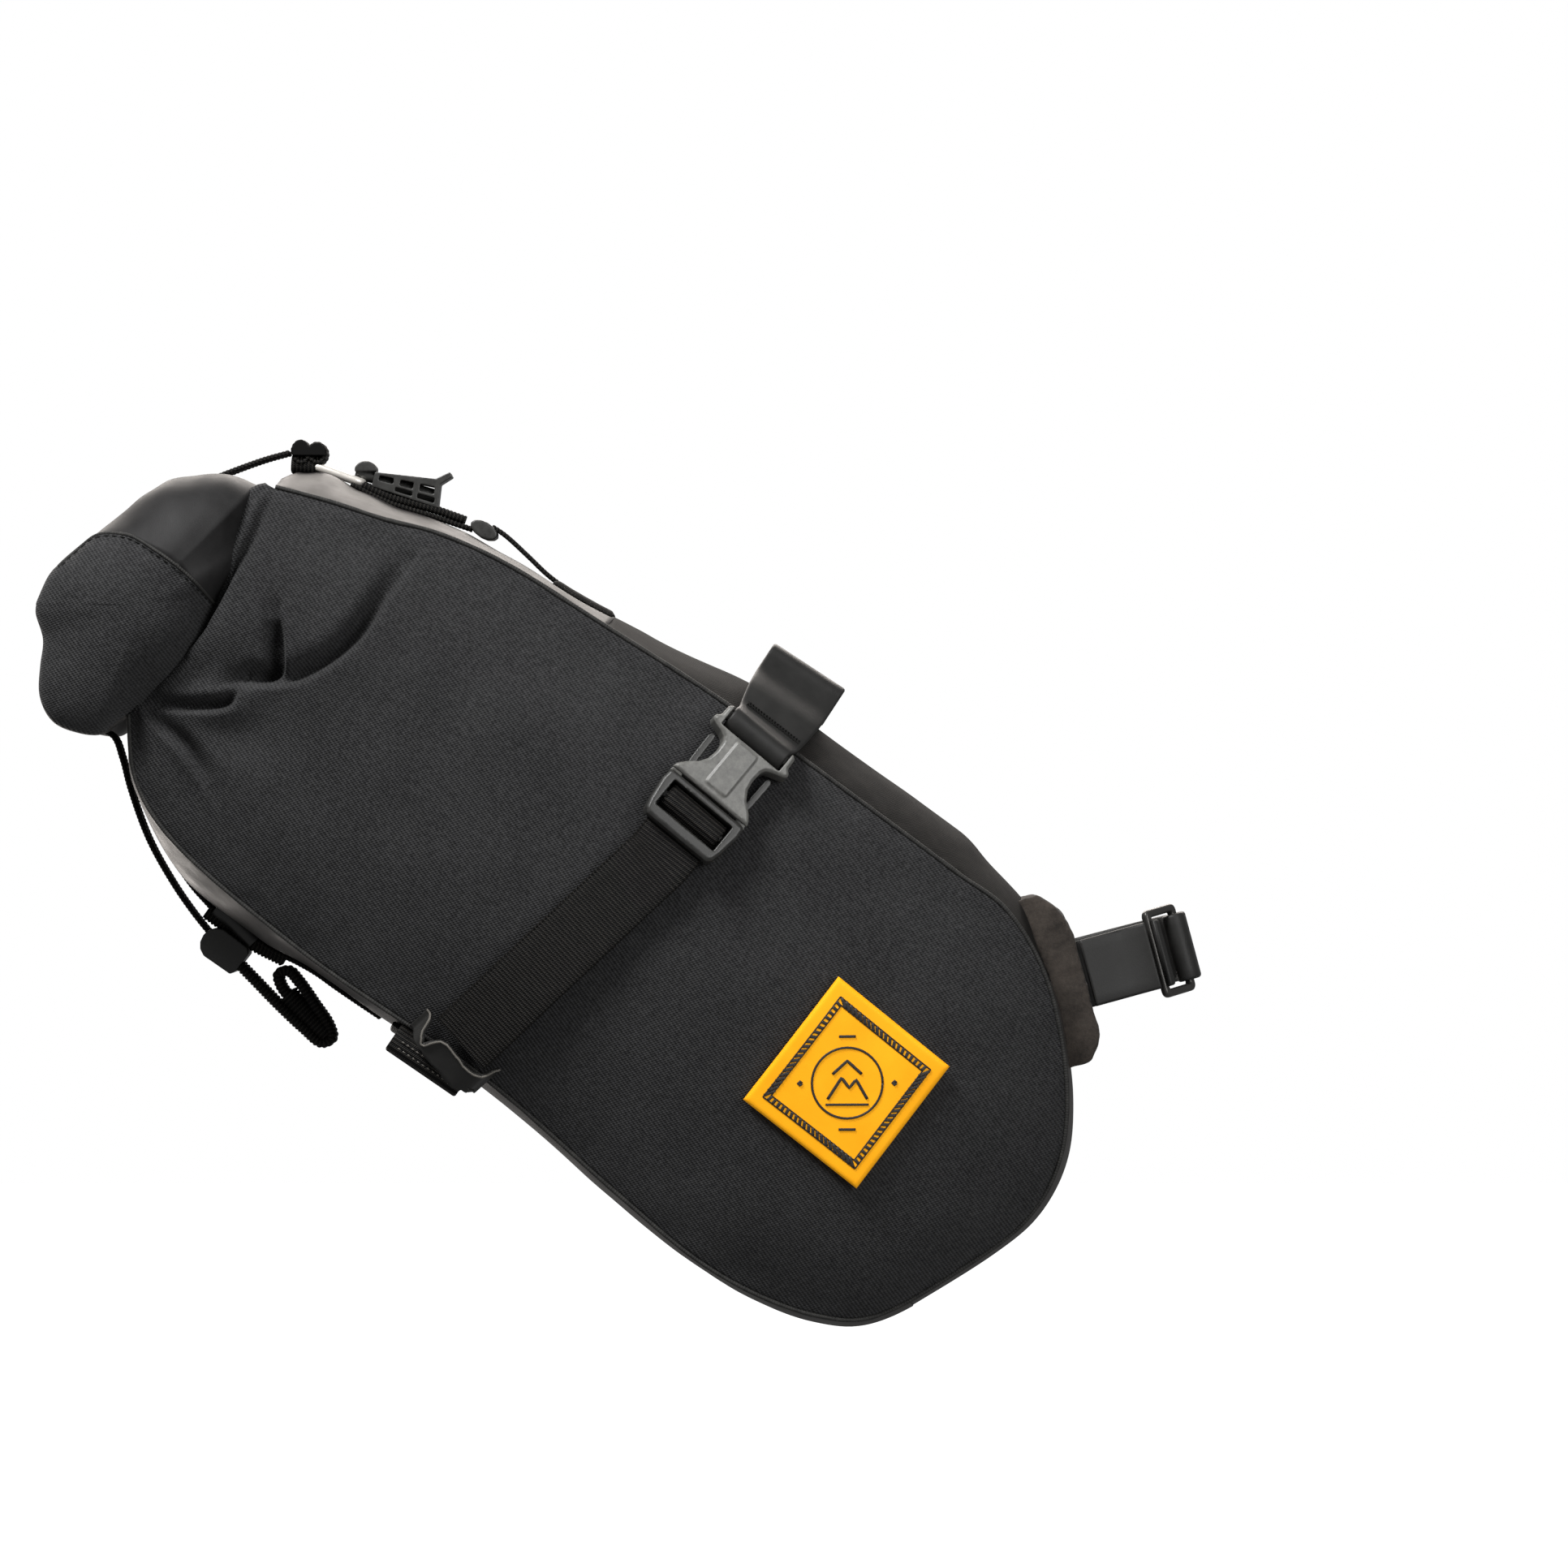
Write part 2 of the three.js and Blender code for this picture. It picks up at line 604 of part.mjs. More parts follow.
function railStrap() {
  const half = COATED_STRAP / 2;
  const inRail = (out, up) => V(0, -RAIL_HALF_SPACING - out, 0).addScaledVector(RAIL_UP, up);
  const barWrap = BAR_RADIUS + TOUCH + half;
  const bar = (degrees) => {
    const turn = THREE.MathUtils.degToRad(degrees);
    return inBuckle(BAR_AT + barWrap * Math.cos(turn), 0, BAR_HEIGHT + barWrap * Math.sin(turn));
  };
  const round = [-120, -80, -40, 0, 40, 80, 120].map(bar);
  const shoulder = [inRail(27.5, -16), inRail(19, -8.6), inRail(9.5, -3.2)];
  const railWrap = RAIL_RADIUS + 0.5 + half;
  const over = [20, 55, 90, 125, 160].map((degrees) => {
    const turn = THREE.MathUtils.degToRad(degrees);
    return inRail(railWrap * Math.cos(turn), railWrap * Math.sin(turn));
  });
  const foot = [inRail(-5.6, -2), inRail(-8, -5), inRail(-11.5, -6.1), inRail(-18, -5.9)];
  const path = [...round, ...shoulder, ...over, ...foot];
  const lengths = path.map((p, i) => (i ? p.distanceTo(path[i - 1]) : 0));
  const total = lengths.reduce((a, b) => a + b);
  let run = 0;
  const stations = path.map((p, i) => {
    run += lengths[i];
    const share = THREE.MathUtils.smoothstep(run / total, 0.15, 0.5);
    const w = BUCKLE.across.clone().lerp(RAIL_ALONG, share).normalize();
    return { p, w, width: THREE.MathUtils.lerp(BUCKLE_STRAP_WIDTH, RAIL_STRAP_WIDTH, share) };
  });
  addPair('rail_strap', strap(stations, RAIL_STRAP_WIDTH, COATED_STRAP), STRAP);
}

// ---- Nose pad and post strap, in a frame that leans with the seatpost ----

const POST_AT = V(94.3, 0, -82.2);
const POST_MATRIX = new THREE.Matrix4().makeRotationY(POST_LEAN).setPosition(POST_AT);
const PAD_HALF_WIDTH = 24;
const POST_STRAP_WIDTH = 20;
const STRAP_ROUND_POST = POST_RADIUS + 0.6 + COATED_STRAP / 2;
const RING_WIRE = 1.2;
const RING_ROUND = STRAP_ROUND_POST + COATED_STRAP / 2 + TOUCH + RING_WIRE;
const REAR_BAR = -58; // degrees round the post from straight ahead
const FRONT_BAR = -22;

function nosePad() {
  const groove = [[0, 12.4], [-3.4, 8.4], [-5, 4], [-5, -4], [-3.4, -8.4], [0, -12.4]];
  const front = -11.4;
  const rows = [ // height along the post, back face, front face, share of the groove
    [-25.5, -20.4, -15.2, 0.2], [-18, -18.4, front, 1], [0, -18.2, front, 1],
    [12, -19.4, front, 1], [20, -21, -13.6, 0.6], [26, -22.4, -16.6, 0.2],
  ];
  const rings = rows.map(([z, back, face, share]) => [
    V(back - 1.4, PAD_HALF_WIDTH, z), V(face, PAD_HALF_WIDTH, z),
    ...groove.map(([depth, y]) => V(face + depth * share, y, z)),
    V(face, -PAD_HALF_WIDTH, z), V(back - 1.4, -PAD_HALF_WIDTH, z),
    V(back, -PAD_HALF_WIDTH / 2, z), V(back, PAD_HALF_WIDTH / 2, z),
  ]);
  add('nose_pad', loft(rings).applyMatrix4(POST_MATRIX), FOAM);
}

function roundPost(radius, degrees) {
  const turn = THREE.MathUtils.degToRad(degrees);
  return V(radius * Math.cos(turn), radius * Math.sin(turn), 0);
}

function postPiece(name, path, width, thickness, surface) {
  const stations = path.map((p) => ({ p, w: V(0, 0, 1) }));
  add(name, strap(stations, width, thickness).applyMatrix4(POST_MATRIX), surface);
}

// A turn of strap round a bar of the ring, from inside the bar to outside it.
function aroundBar(degrees, from, to, steps) {
  const centre = roundPost(RING_ROUND, degrees);
  const radius = RING_WIRE + TOUCH + COATED_STRAP / 2;
  return Array.from({ length: steps + 1 }, (_, i) => {
    const turn = THREE.MathUtils.degToRad(from + ((to - from) * i) / steps);
    return centre.clone().add(V(radius * Math.cos(turn), radius * Math.sin(turn), 0));
  });
}

function postStraps() {
  const r = STRAP_ROUND_POST;
  const side = [V(-18.5, 26.2, 0), V(-12, 26, 0)];
  const flip = (p) => V(p.x, -p.y, p.z);
  const right = [
    ...side.map(flip),
    V(-2, -21.2, 0),
    roundPost(r + 0.2, REAR_BAR - 14),
    ...aroundBar(REAR_BAR, REAR_BAR + 180, REAR_BAR, 7),
  ];
  postPiece('post_strap_right', right, POST_STRAP_WIDTH, COATED_STRAP, STRAP);
  const left = [
    ...side,
    V(-2, 21.2, 0),
    ...[64, 48, 32, 16, 2, -11].map((degrees) => roundPost(r, degrees)),
    ...aroundBar(FRONT_BAR, FRONT_BAR - 180, FRONT_BAR + 10, 7),
    roundPost(r + 4.2, -8),
    roundPost(r + 2.5, 8),
    roundPost(r + 2.4, 20),
  ];
  postPiece('post_strap_left', left, POST_STRAP_WIDTH, COATED_STRAP, STRAP);
}

const PEEL_AT = roundPost(RING_ROUND + RING_WIRE + TOUCH + COATED_STRAP / 2 + 0.1, REAR_BAR - 7);

function postStrapEnd() {
  const end = [
    PEEL_AT,
    roundPost(STRAP_ROUND_POST + 4, REAR_BAR - 14),
    V(2, -21.6, 0),
    V(-2, -23.7, 0),
    V(-9.4, -27.4, 0),
  ];
  postPiece('post_strap_end', end, POST_STRAP_WIDTH, 1.6, STRAP);
}

function postRing() {
  const rear = roundPost(RING_ROUND, REAR_BAR);
  const front = roundPost(RING_ROUND, FRONT_BAR);
  const span = front.distanceTo(rear);
  const half = POST_STRAP_WIDTH / 2 + 0.8;
  const shape = roundedRectangle(-RING_WIRE, -half - 2 * RING_WIRE, span + RING_WIRE,
    half + 2 * RING_WIRE, 2);
  shape.holes.push(roundedRectangle(RING_WIRE, -half, span - RING_WIRE, half, 0.6));
  const along = front.clone().sub(rear).normalize();
  const up = V(0, 0, 1);
  const matrix = new THREE.Matrix4().makeBasis(along, up, V(0, 0, 0).crossVectors(along, up))
    .setPosition(rear);
  const frame = plate(shape, 2 * RING_WIRE, 0.5).translate(0, 0, -RING_WIRE);
  add('post_ring', frame.applyMatrix4(matrix).applyMatrix4(POST_MATRIX), STEEL);
}

// ---- Rolled mouth ----

const ROLL_OUTLINE = [
  [-160.5, 57.5], [-167, 60], [-182, 58], [-196, 49], [-208.4, 39.2], [-216.5, 30], [-220.6, 18],
  [-219.6, 3], [-216, -10], [-208, -14.6], [-199.5, -13.5], [-193.5, -3], [-174.2, 28],
];
const ROLL_MIDDLE = [-190, 22];
const ROLL_HALF_WIDTH = 67;

function scaledRoll(share) {
  const [cx, cz] = ROLL_MIDDLE;
  return ROLL_OUTLINE.map(([x, z]) => [cx + (x - cx) * share, cz + (z - cz) * share]);
}

const ROLL_VALLEY = 0.84; // the closure strap presses the roll's middle in to this share
const STIFFENER_SLOPE = -57; // of the strip inside the roll, in degrees
const STIFFENER_LENGTH = 32;
const STIFFENER_HALF_WIDTH = 58;

function roll() {
  const rows = [[-1, 0.6], [-0.95, 0.82], [-0.8, 0.95], [-0.45, 1], [-0.16, ROLL_VALLEY + 0.03],
    [0.16, ROLL_VALLEY + 0.03], [0.45, 1], [0.8, 0.95], [0.95, 0.82], [1, 0.6]];
  const rings = rows.map(([t, share]) =>
    scaledRoll(share).map(([x, z]) => V(x, t * ROLL_HALF_WIDTH, z)));
  const reach = STIFFENER_LENGTH / 2;
  const beyond = ROLL_HALF_WIDTH + 13; // well outside the roll's ends
  const slot = box(-reach - 1, reach + 1, -beyond, beyond, -0.9, 0.9);
  const turn = new THREE.Matrix4().makeRotationY(THREE.MathUtils.degToRad(STIFFENER_SLOPE))
    .setPosition(ROLL_MIDDLE[0], 0, ROLL_MIDDLE[1]);
  add('rolled_mouth', cut(loft(rings), slot.applyMatrix4(turn)), COATED);
  const strip = box(-reach, reach, -STIFFENER_HALF_WIDTH, STIFFENER_HALF_WIDTH, -0.5, 0.5);
  add('mouth_stiffener', strip.applyMatrix4(turn), SHEET_PLASTIC);
}

// ---- Closure: from the ladder on top, over the roll, to the ladder-lock underneath ----

const CLOSURE_HALF = CLOSURE_WEBBING / 2;
const LOCK_PIVOT = [-171.2, -76.6];

function closureStrap() {
  const path = [[-149.8, 67.8], [-157, 65.8], [-166, 62.6], [-176, 58.6], [-184, 55],
    [-196.3, 47.4], [-207.5, 38.9], [-215, 30.3], [-218.7, 18.5], [-217.8, 5], [-214.4, -7],
    [-207.4, -12.8], [-201.6, -15.6], [-199, -22], [-196.6, -31], [-191.2, -45.8], [-184, -58.8],
    [-179, -66]];
  const points = smooth(path.map(([x, z]) => V(x, 0, z)), 34);
  const stations = points.map((p) => ({ p, w: V(0, 1, 0) }));
  add('closure_strap', strap(stations, CLOSURE_WEBBING, WEBBING_THICK), RIBBED);
}

function rotatedXZ(outline, [cx, cz], degrees) {
  const turn = THREE.MathUtils.degToRad(degrees);
  return outline.map(([x, z]) => [
    cx + x * Math.cos(turn) - z * Math.sin(turn),
    cz + x * Math.sin(turn) + z * Math.cos(turn),
  ]);
}

// Half of an oval, as points for an outline.
function bump(cx, cz, rx, rz, from, to, steps) {
  return Array.from({ length: steps + 1 }, (_, i) => {
    const turn = THREE.MathUtils.degToRad(from + ((to - from) * i) / steps);
    return [cx + rx * Math.cos(turn), cz + rz * Math.sin(turn)];
  });
}

// The slider that holds the wire hook: two humps of doubled webbing round its bars.
function hookSlider() {
  const outline = [
    ...bump(-141.6, 68, 2.6, 2.8, 0, 160, 5),
    ...bump(-146.4, 68.4, 2.6, 3.2, 20, 200, 6),
    [-149, 66.9], [-139.2, 66.8],
  ];
  add('hook_slider', acrossY(outline, -CLOSURE_HALF - 1, CLOSURE_HALF + 1), RIBBED);
}

const HOOK_SLOPE = -19.5;
const HOOK_LENGTH = 17;
const HOOK_WIRE = 2;
const HOOK_FOOT = [-143.6, 64.3]; // the hook's bar inside the slider, in X and Z

function hook() {
  const edge = HOOK_WIRE + 0.2;
  const shape = roundedRectangle(0, -CLOSURE_HALF, HOOK_LENGTH, CLOSURE_HALF, 2.4);
  shape.holes.push(roundedRectangle(edge, -CLOSURE_HALF + edge, HOOK_LENGTH - edge,
    CLOSURE_HALF - edge, 1));
  const geometry = plate(shape, HOOK_WIRE, 0.4);
  const matrix = new THREE.Matrix4()
    .makeRotationY(THREE.MathUtils.degToRad(-HOOK_SLOPE))
    .setPosition(HOOK_FOOT[0], 0, HOOK_FOOT[1]);
  add('closure_hook', geometry.applyMatrix4(matrix), STEEL);
  const grip = bump(-127.4, 62.6, 3.4, 2.8, -10, 190, 7);
  add('hook_grip', acrossY(grip, -CLOSURE_HALF + 2, CLOSURE_HALF - 2), PLASTIC);
}

// The ladder of loops that the hook is clipped to: its side outline, pierced by two rows of windows.
const LADDER_CORNERS = [[-125.6, 57.8], [-106.2, 51.4], [-105.4, 58.4], [-124.6, 62]];
const LADDER_TAB = [[-101.9, 60.6], [-102.6, 62], [-106.8, 60]];

function ladder() {
  const [a, b, c, d] = LADDER_CORNERS.map(([x, z]) => new THREE.Vector2(x, z));
  const inLadder = (u, v) => a.clone().lerp(b, u).lerp(d.clone().lerp(c, u), v);
  const tab = LADDER_TAB.map(([x, z]) => new THREE.Vector2(x, z));
  const shape = new THREE.Shape([a, b, c, ...tab, d]);
  const windows = [[0.08, 0.3, 0.52, 0.84], [0.4, 0.6, 0.52, 0.84], [0.7, 0.92, 0.52, 0.84],
    [0.34, 0.6, 0.16, 0.38], [0.68, 0.94, 0.16, 0.38]];
  windows.forEach(([u0, u1, v0, v1]) => shape.holes.push(new THREE.Path(
    [inLadder(u0, v0), inLadder(u0, v1), inLadder(u1, v1), inLadder(u1, v0)])));
  const upright = new THREE.Matrix4().makeRotationX(Math.PI / 2).setPosition(0, CLOSURE_HALF, 0);
  add('ladder', plate(shape, CLOSURE_WEBBING).applyMatrix4(upright), PLASTIC);
}

function overGusset(outline, width) {
  const stations = outline.map(([p, lift]) => ({ p: gussetPoint(p, 0, lift), w: V(0, 1, 0) }));
  return strap(stations, width, WEBBING_THICK);
}

function topStraps() {
  add('ladder_strap', overGusset([[0.032, 1.2], [0.047, 1.2], [0.065, 1.3], [0.082, 2]],
    CLOSURE_WEBBING), RIBBED);
  const slider = rotatedXZ(bump(0, 0, 4.4, 2.4, 0, 330, 11), [-92.6, 45], -30);
  add('top_slider', acrossY(slider, -CLOSURE_HALF - 1.5, CLOSURE_HALF + 1.5), PLASTIC);
  const line = [[-88, 44.8], [-80, 38.6], [-74, 34.2], [-69.5, 31.4], [-65, 28.8]];
  const stations = line.map(([x, z]) => ({ p: V(x, 0, z), w: V(0, 1, 0) }));
  add('top_strap', strap(stations, CLOSURE_WEBBING, WEBBING_THICK), RIBBED);
  add('top_anchor_patch', gussetSheet(0.124, 0.15, 4, -0.4, 0.4, TOUCH, 1), REINFORCED_FABRIC);
}

function bottomClosure() {
  const [x, z] = LOCK_PIVOT;
  const round = bump(0, 0, 4.6, 5, 100, 260, 6);
  const lock = [...round, [8.6, -4.4], [9.4, -3], [9.4, 3.6], [8, 5]];
  add('ladder_lock', acrossY(rotatedXZ(lock, LOCK_PIVOT, -38), -CLOSURE_HALF - 2,
    CLOSURE_HALF + 2), PLASTIC);
  add('bottom_anchor', overGusset([[0.856, 1.4], [0.875, 1.3], [0.893, 1.5], [0.905, 2.4]],
    CLOSURE_WEBBING), RIBBED);
  const tail = [[5.4, -9.8], [10, -15], [16.5, -23], [24, -32], [29.4, -29], [26.8, -24],
    [19.8, -13.6], [16.6, -10.4]].map(([dx, dz]) => V(x + dx, 0, z + dz));
  const stations = smooth(tail, 20).map((p) => ({ p, w: V(0, 1, 0) }));
  add('closure_tail', strap(stations, CLOSURE_WEBBING, 1.3), RIBBED);
}

panels();
badge();
buckles();
sideWebbing();
keeper();
underBag();
railStrap();
nosePad();
postStraps();
postStrapEnd();
postRing();
roll();
closureStrap();
hookSlider();
hook();
ladder();
topStraps();
bottomClosure();

bag.userData = {
  buckle: BUCKLE,
  prongRoot: [inBuckle(...PRONG_ROOT, 4), inBuckle(PRONG_ROOT[0], -PRONG_ROOT[1], 4)],
  peel: PEEL_AT.clone().applyMatrix4(POST_MATRIX),
};

export default bag;
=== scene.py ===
"""A roll-top saddle bag: cloth, webbing and moulded parts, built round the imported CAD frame."""
import json
import math

import bmesh
import bpy
import numpy as np
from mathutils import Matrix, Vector, noise
from mathutils.bvhtree import BVHTree


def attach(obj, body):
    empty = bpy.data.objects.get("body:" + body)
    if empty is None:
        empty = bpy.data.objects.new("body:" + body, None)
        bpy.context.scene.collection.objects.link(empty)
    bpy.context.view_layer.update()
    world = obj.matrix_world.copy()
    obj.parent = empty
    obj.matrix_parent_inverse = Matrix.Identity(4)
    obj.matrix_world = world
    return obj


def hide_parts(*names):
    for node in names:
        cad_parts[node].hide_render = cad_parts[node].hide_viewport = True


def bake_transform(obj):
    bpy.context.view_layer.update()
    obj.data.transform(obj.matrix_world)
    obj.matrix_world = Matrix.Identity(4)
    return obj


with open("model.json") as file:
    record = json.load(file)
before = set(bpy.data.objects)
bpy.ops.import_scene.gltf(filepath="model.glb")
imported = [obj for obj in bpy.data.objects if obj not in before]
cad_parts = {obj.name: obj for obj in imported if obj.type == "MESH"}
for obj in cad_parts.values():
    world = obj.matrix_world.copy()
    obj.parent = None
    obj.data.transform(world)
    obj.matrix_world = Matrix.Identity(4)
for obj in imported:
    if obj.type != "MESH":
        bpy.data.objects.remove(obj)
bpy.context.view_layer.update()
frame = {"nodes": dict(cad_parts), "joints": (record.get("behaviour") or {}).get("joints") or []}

NODES = frame["nodes"]
MM = 0.001

# ---- Driving sizes, in millimetres, the same as the CAD model's ----

SEAM = [
    (-153.2, 56.9), (-137, 52.6), (-120.3, 47.2), (-105, 43.2), (-85.5, 34.5), (-59.2, 18.1),
    (-23.7, -4.7), (23.7, -39), (46.5, -55.9), (60, -66), (71.7, -85.8), (77.8, -117.5),
    (75.5, -140), (66, -156.5), (46.3, -171.3), (20, -185), (5.4, -184.3), (-12.2, -178.1),
    (-29.8, -167.8), (-53.1, -148.3), (-90, -115.9), (-145.2, -77.3), (-183.5, -43.7),
    (-192.5, -28), (-194.5, -8),
]
# Places along the seam, as shares of its length.
MOUTH_TOP = 0.002
REINFORCED = 0.154
NOSE_TOP = 0.396
NOSE_BOTTOM = 0.561
MOUTH_BOTTOM = 0.998
NOSE_RULING = 0.4975
CROWN = [  # place along the seam, and how far the gusset's middle stands out there
    (0, 3.6), (0.007, 6.6), (0.019, 8.4), (0.034, 6.0), (0.055, 4.4), (0.078, 3.7), (0.1, 2.9),
    (0.13, 2.7), (0.17, 4.5), (0.23, 9.5), (0.325, 10.5), (0.36, 6), (0.385, 2), (0.5, 3.2),
    (0.7, 3.5), (0.86, 3.6), (0.887, 6.6), (0.92, 7.6), (0.965, 3), (1, 1),
]
HALF_WIDTH_NOSE = 33
HALF_WIDTH_REAR = 48
SIDE_BULGE = 15
FULL_HEIGHT = 135  # of the side, where it bulges fully
CROWN_POWER = 2.5
GUSSET_INSET = 0.3
WEBBING = 20
WEBBING_THICK = 1.35
CLOSURE_WEBBING = 16
RIB_PITCH = 1.15  # of the webbing's cross ribs
BAG_MIDDLE = np.array([-60.0, 0, -65])
REARWARD = np.array([-0.825, 0.0, 0.565])  # square to the line where the roll meets the bag

FORE = np.array([1.0, 0, 0])
LEFT = np.array([0, 1.0, 0])
UP = np.array([0, 0, 1.0])
RIGHT = -LEFT


# ---- Curves ----

CURVE_STEPS = 16  # points on a curve from one given point to the next


def smoothstep(x, a, b):
    t = np.clip((np.asarray(x, float) - a) / (b - a), 0, 1)
    return t * t * (3 - 2 * t)


def level(path):
    """Points in X and Z, on the bag's middle plane."""
    return np.array([(x, 0, z) for x, z in path], float)


def spline(points, per=CURVE_STEPS):
    """Dense points on a centripetal Catmull-Rom curve through the given ones."""
    p = np.asarray(points, float)
    ends = np.vstack([2 * p[0] - p[1], p, 2 * p[-1] - p[-2]])
    gap = np.sqrt(np.linalg.norm(np.diff(ends, axis=0), axis=1))
    u = np.linspace(0, 1, per, endpoint=False)[:, None]
    out = []
    for i in range(1, len(ends) - 2):
        a, b, c, d = ends[i - 1:i + 3]
        g0, g1, g2 = gap[i - 1:i + 2]
        leave = ((b - a) / g0 - (c - a) / (g0 + g1) + (c - b) / g1) * g1
        arrive = ((c - b) / g1 - (d - b) / (g1 + g2) + (d - c) / g2) * g1
        out.append((2 * u**3 - 3 * u**2 + 1) * b + (u**3 - 2 * u**2 + u) * leave
                   + (3 * u**2 - 2 * u**3) * c + (u**3 - u**2) * arrive)
    return np.vstack([*out, p[-1:]])


def level_spline(points, per=CURVE_STEPS):
    """A curve through points in X and Z, as pairs of X and Z."""
    return spline(level(points), per)[:, [0, 2]]


def lengths(points):
    return np.concatenate([[0], np.cumsum(np.linalg.norm(np.diff(points, axis=0), axis=1))])


def along(points, run, places):
    """Points at the given distances along a curve."""
    return np.stack([np.interp(places, run, points[:, k]) for k in range(points.shape[1])], axis=1)


def unit(v):
    return v / np.maximum(np.linalg.norm(v, axis=-1, keepdims=True), 1e-9)


def round_points(middle, radius, turn, first, second):
    """Points round a middle, turned from the first direction towards the second."""
    turn = np.asarray(turn, float)[:, None]
    return middle + radius * (np.cos(turn) * first + np.sin(turn) * second)


def noise_at(points, size, seed=0):
    """Smooth noise from -1 to 1, with lumps of about that size."""
    shift = Vector((seed * 17.3, seed * 5.1, seed * 9.7))
    flat = np.asarray(points, float).reshape(-1, 3) / size
    values = [noise.noise(Vector(p) + shift) for p in flat]
    return np.array(values).reshape(np.shape(points)[:-1])


def mirrored(values):
    return np.asarray(values, float) * (1, -1, 1)


def both_sides(build):
    """Builds a piece on the visible side and its mirror image on the far side."""
    build("right", lambda values: np.asarray(values, float))
    build("left", mirrored)


# ---- Meshes ----

UV_UNIT = 100  # millimetres of cloth in one unit of a UV map
CLOTH = 1.1  # the thickness of the bag's cloth


def link(obj):
    bpy.context.scene.collection.objects.link(obj)
    return obj


def mesh_object(name, points, faces, material, uvs=None, smooth=True):
    """A mesh from points in millimetres; uvs are one pair a point, in millimetres of cloth."""
    mesh = bpy.data.meshes.new(name)
    mesh.from_pydata((np.asarray(points, float).reshape(-1, 3) * MM).tolist(), [], faces)
    if uvs is not None:
        layer = mesh.uv_layers.new(name="cloth")
        corner = np.empty(len(mesh.loops), int)
        mesh.loops.foreach_get("vertex_index", corner)
        pairs = np.asarray(uvs, float).reshape(-1, 2)[corner]
        layer.data.foreach_set("uv", (pairs / UV_UNIT).ravel())
    mesh.materials.append(material)
    if smooth:
        mesh.shade_smooth()
    return link(bpy.data.objects.new(name, mesh))


def paired(first, second):
    """Two grids, or a column and a row, as one grid of pairs."""
    return np.stack(np.broadcast_arrays(first, second), axis=-1)


def grid_faces(rows, columns, loop=False, flip=False, start=0):
    wide = columns if loop else columns - 1
    i, j = np.meshgrid(np.arange(rows - 1), np.arange(wide), indexing="ij")
    k = (j + 1) % columns
    quads = np.stack([i * columns + j, i * columns + k, (i + 1) * columns + k,
                      (i + 1) * columns + j], axis=-1).reshape(-1, 4) + start
    return (quads[:, ::-1] if flip else quads).tolist()


def swept_faces(rows, sides, closed=False, start=0):
    """The faces of a ring swept along a path, with its ends filled or joined to each other."""
    faces = grid_faces(rows, sides, loop=True, start=start)
    first = [start + k for k in range(sides)]
    last = [start + (rows - 1) * sides + k for k in range(sides)]
    if not closed:
        return faces + [first[::-1], last]
    for j in range(sides):
        k = (j + 1) % sides
        faces.append([last[j], last[k], first[k], first[j]])
    return faces


def grid_normals(points):
    return unit(np.cross(np.gradient(points, axis=0), np.gradient(points, axis=1)))


def sheet_object(name, points, uvs, material, thickness=CLOTH, inside=BAG_MIDDLE):
    """A sheet of cloth whose outer face is on the grid of points and turned from inside."""
    rows, columns = points.shape[:2]
    flip = np.sum(grid_normals(points) * (points - inside)) > 0
    obj = mesh_object(name, points, grid_faces(rows, columns, flip=flip), material, uvs)
    solidify = obj.modifiers.new("thickness", "SOLIDIFY")
    solidify.thickness = thickness * MM
    solidify.offset = -1
    return obj


def settled(obj):
    """The object with its modifiers applied."""
    graph = bpy.context.evaluated_depsgraph_get()
    mesh = bpy.data.meshes.new_from_object(obj.evaluated_get(graph))
    obj.modifiers.clear()
    obj.data = mesh
    return obj


def outward(obj):
    """Turns the faces of a closed mesh outward."""
    work = bmesh.new()
    work.from_mesh(obj.data)
    if work.calc_volume(signed=True) < 0:
        bmesh.ops.reverse_faces(work, faces=work.faces)
        work.to_mesh(obj.data)
    work.free()
    return obj


SECTION_TOP = 8  # points across a strap
SECTION_ROUND = 4  # points round each of its edges
RIB_STEPS = 6  # points along each rib


def section(width, thick):
    """A strap's cross-section, flat with round edges, as widths and heights."""
    r = thick / 2
    flat = np.linspace(-width / 2 + r, width / 2 - r, SECTION_TOP)
    turn = np.linspace(-math.pi / 2, math.pi / 2, SECTION_ROUND + 2)[1:-1]
    right = np.stack([width / 2 - r + r * np.cos(turn), -r * np.sin(turn)], axis=1)
    upper = np.stack([flat, np.full(SECTION_TOP, r)], axis=1)
    return np.vstack([upper, right, -upper, -right])


def strap_line(path, across, wide, curved):
    """A strap's path, its direction across and its width there, as seven columns."""
    path = np.asarray(path, float)
    wide = np.broadcast_to(wide, len(path))[:, None]
    line = np.hstack([path, np.broadcast_to(across, path.shape), wide])
    if not curved:
        return line
    middle = spline(path)
    share = np.arange(len(middle)) / CURVE_STEPS
    return np.hstack([middle, along(line[:, 3:], np.arange(len(path)), share)])


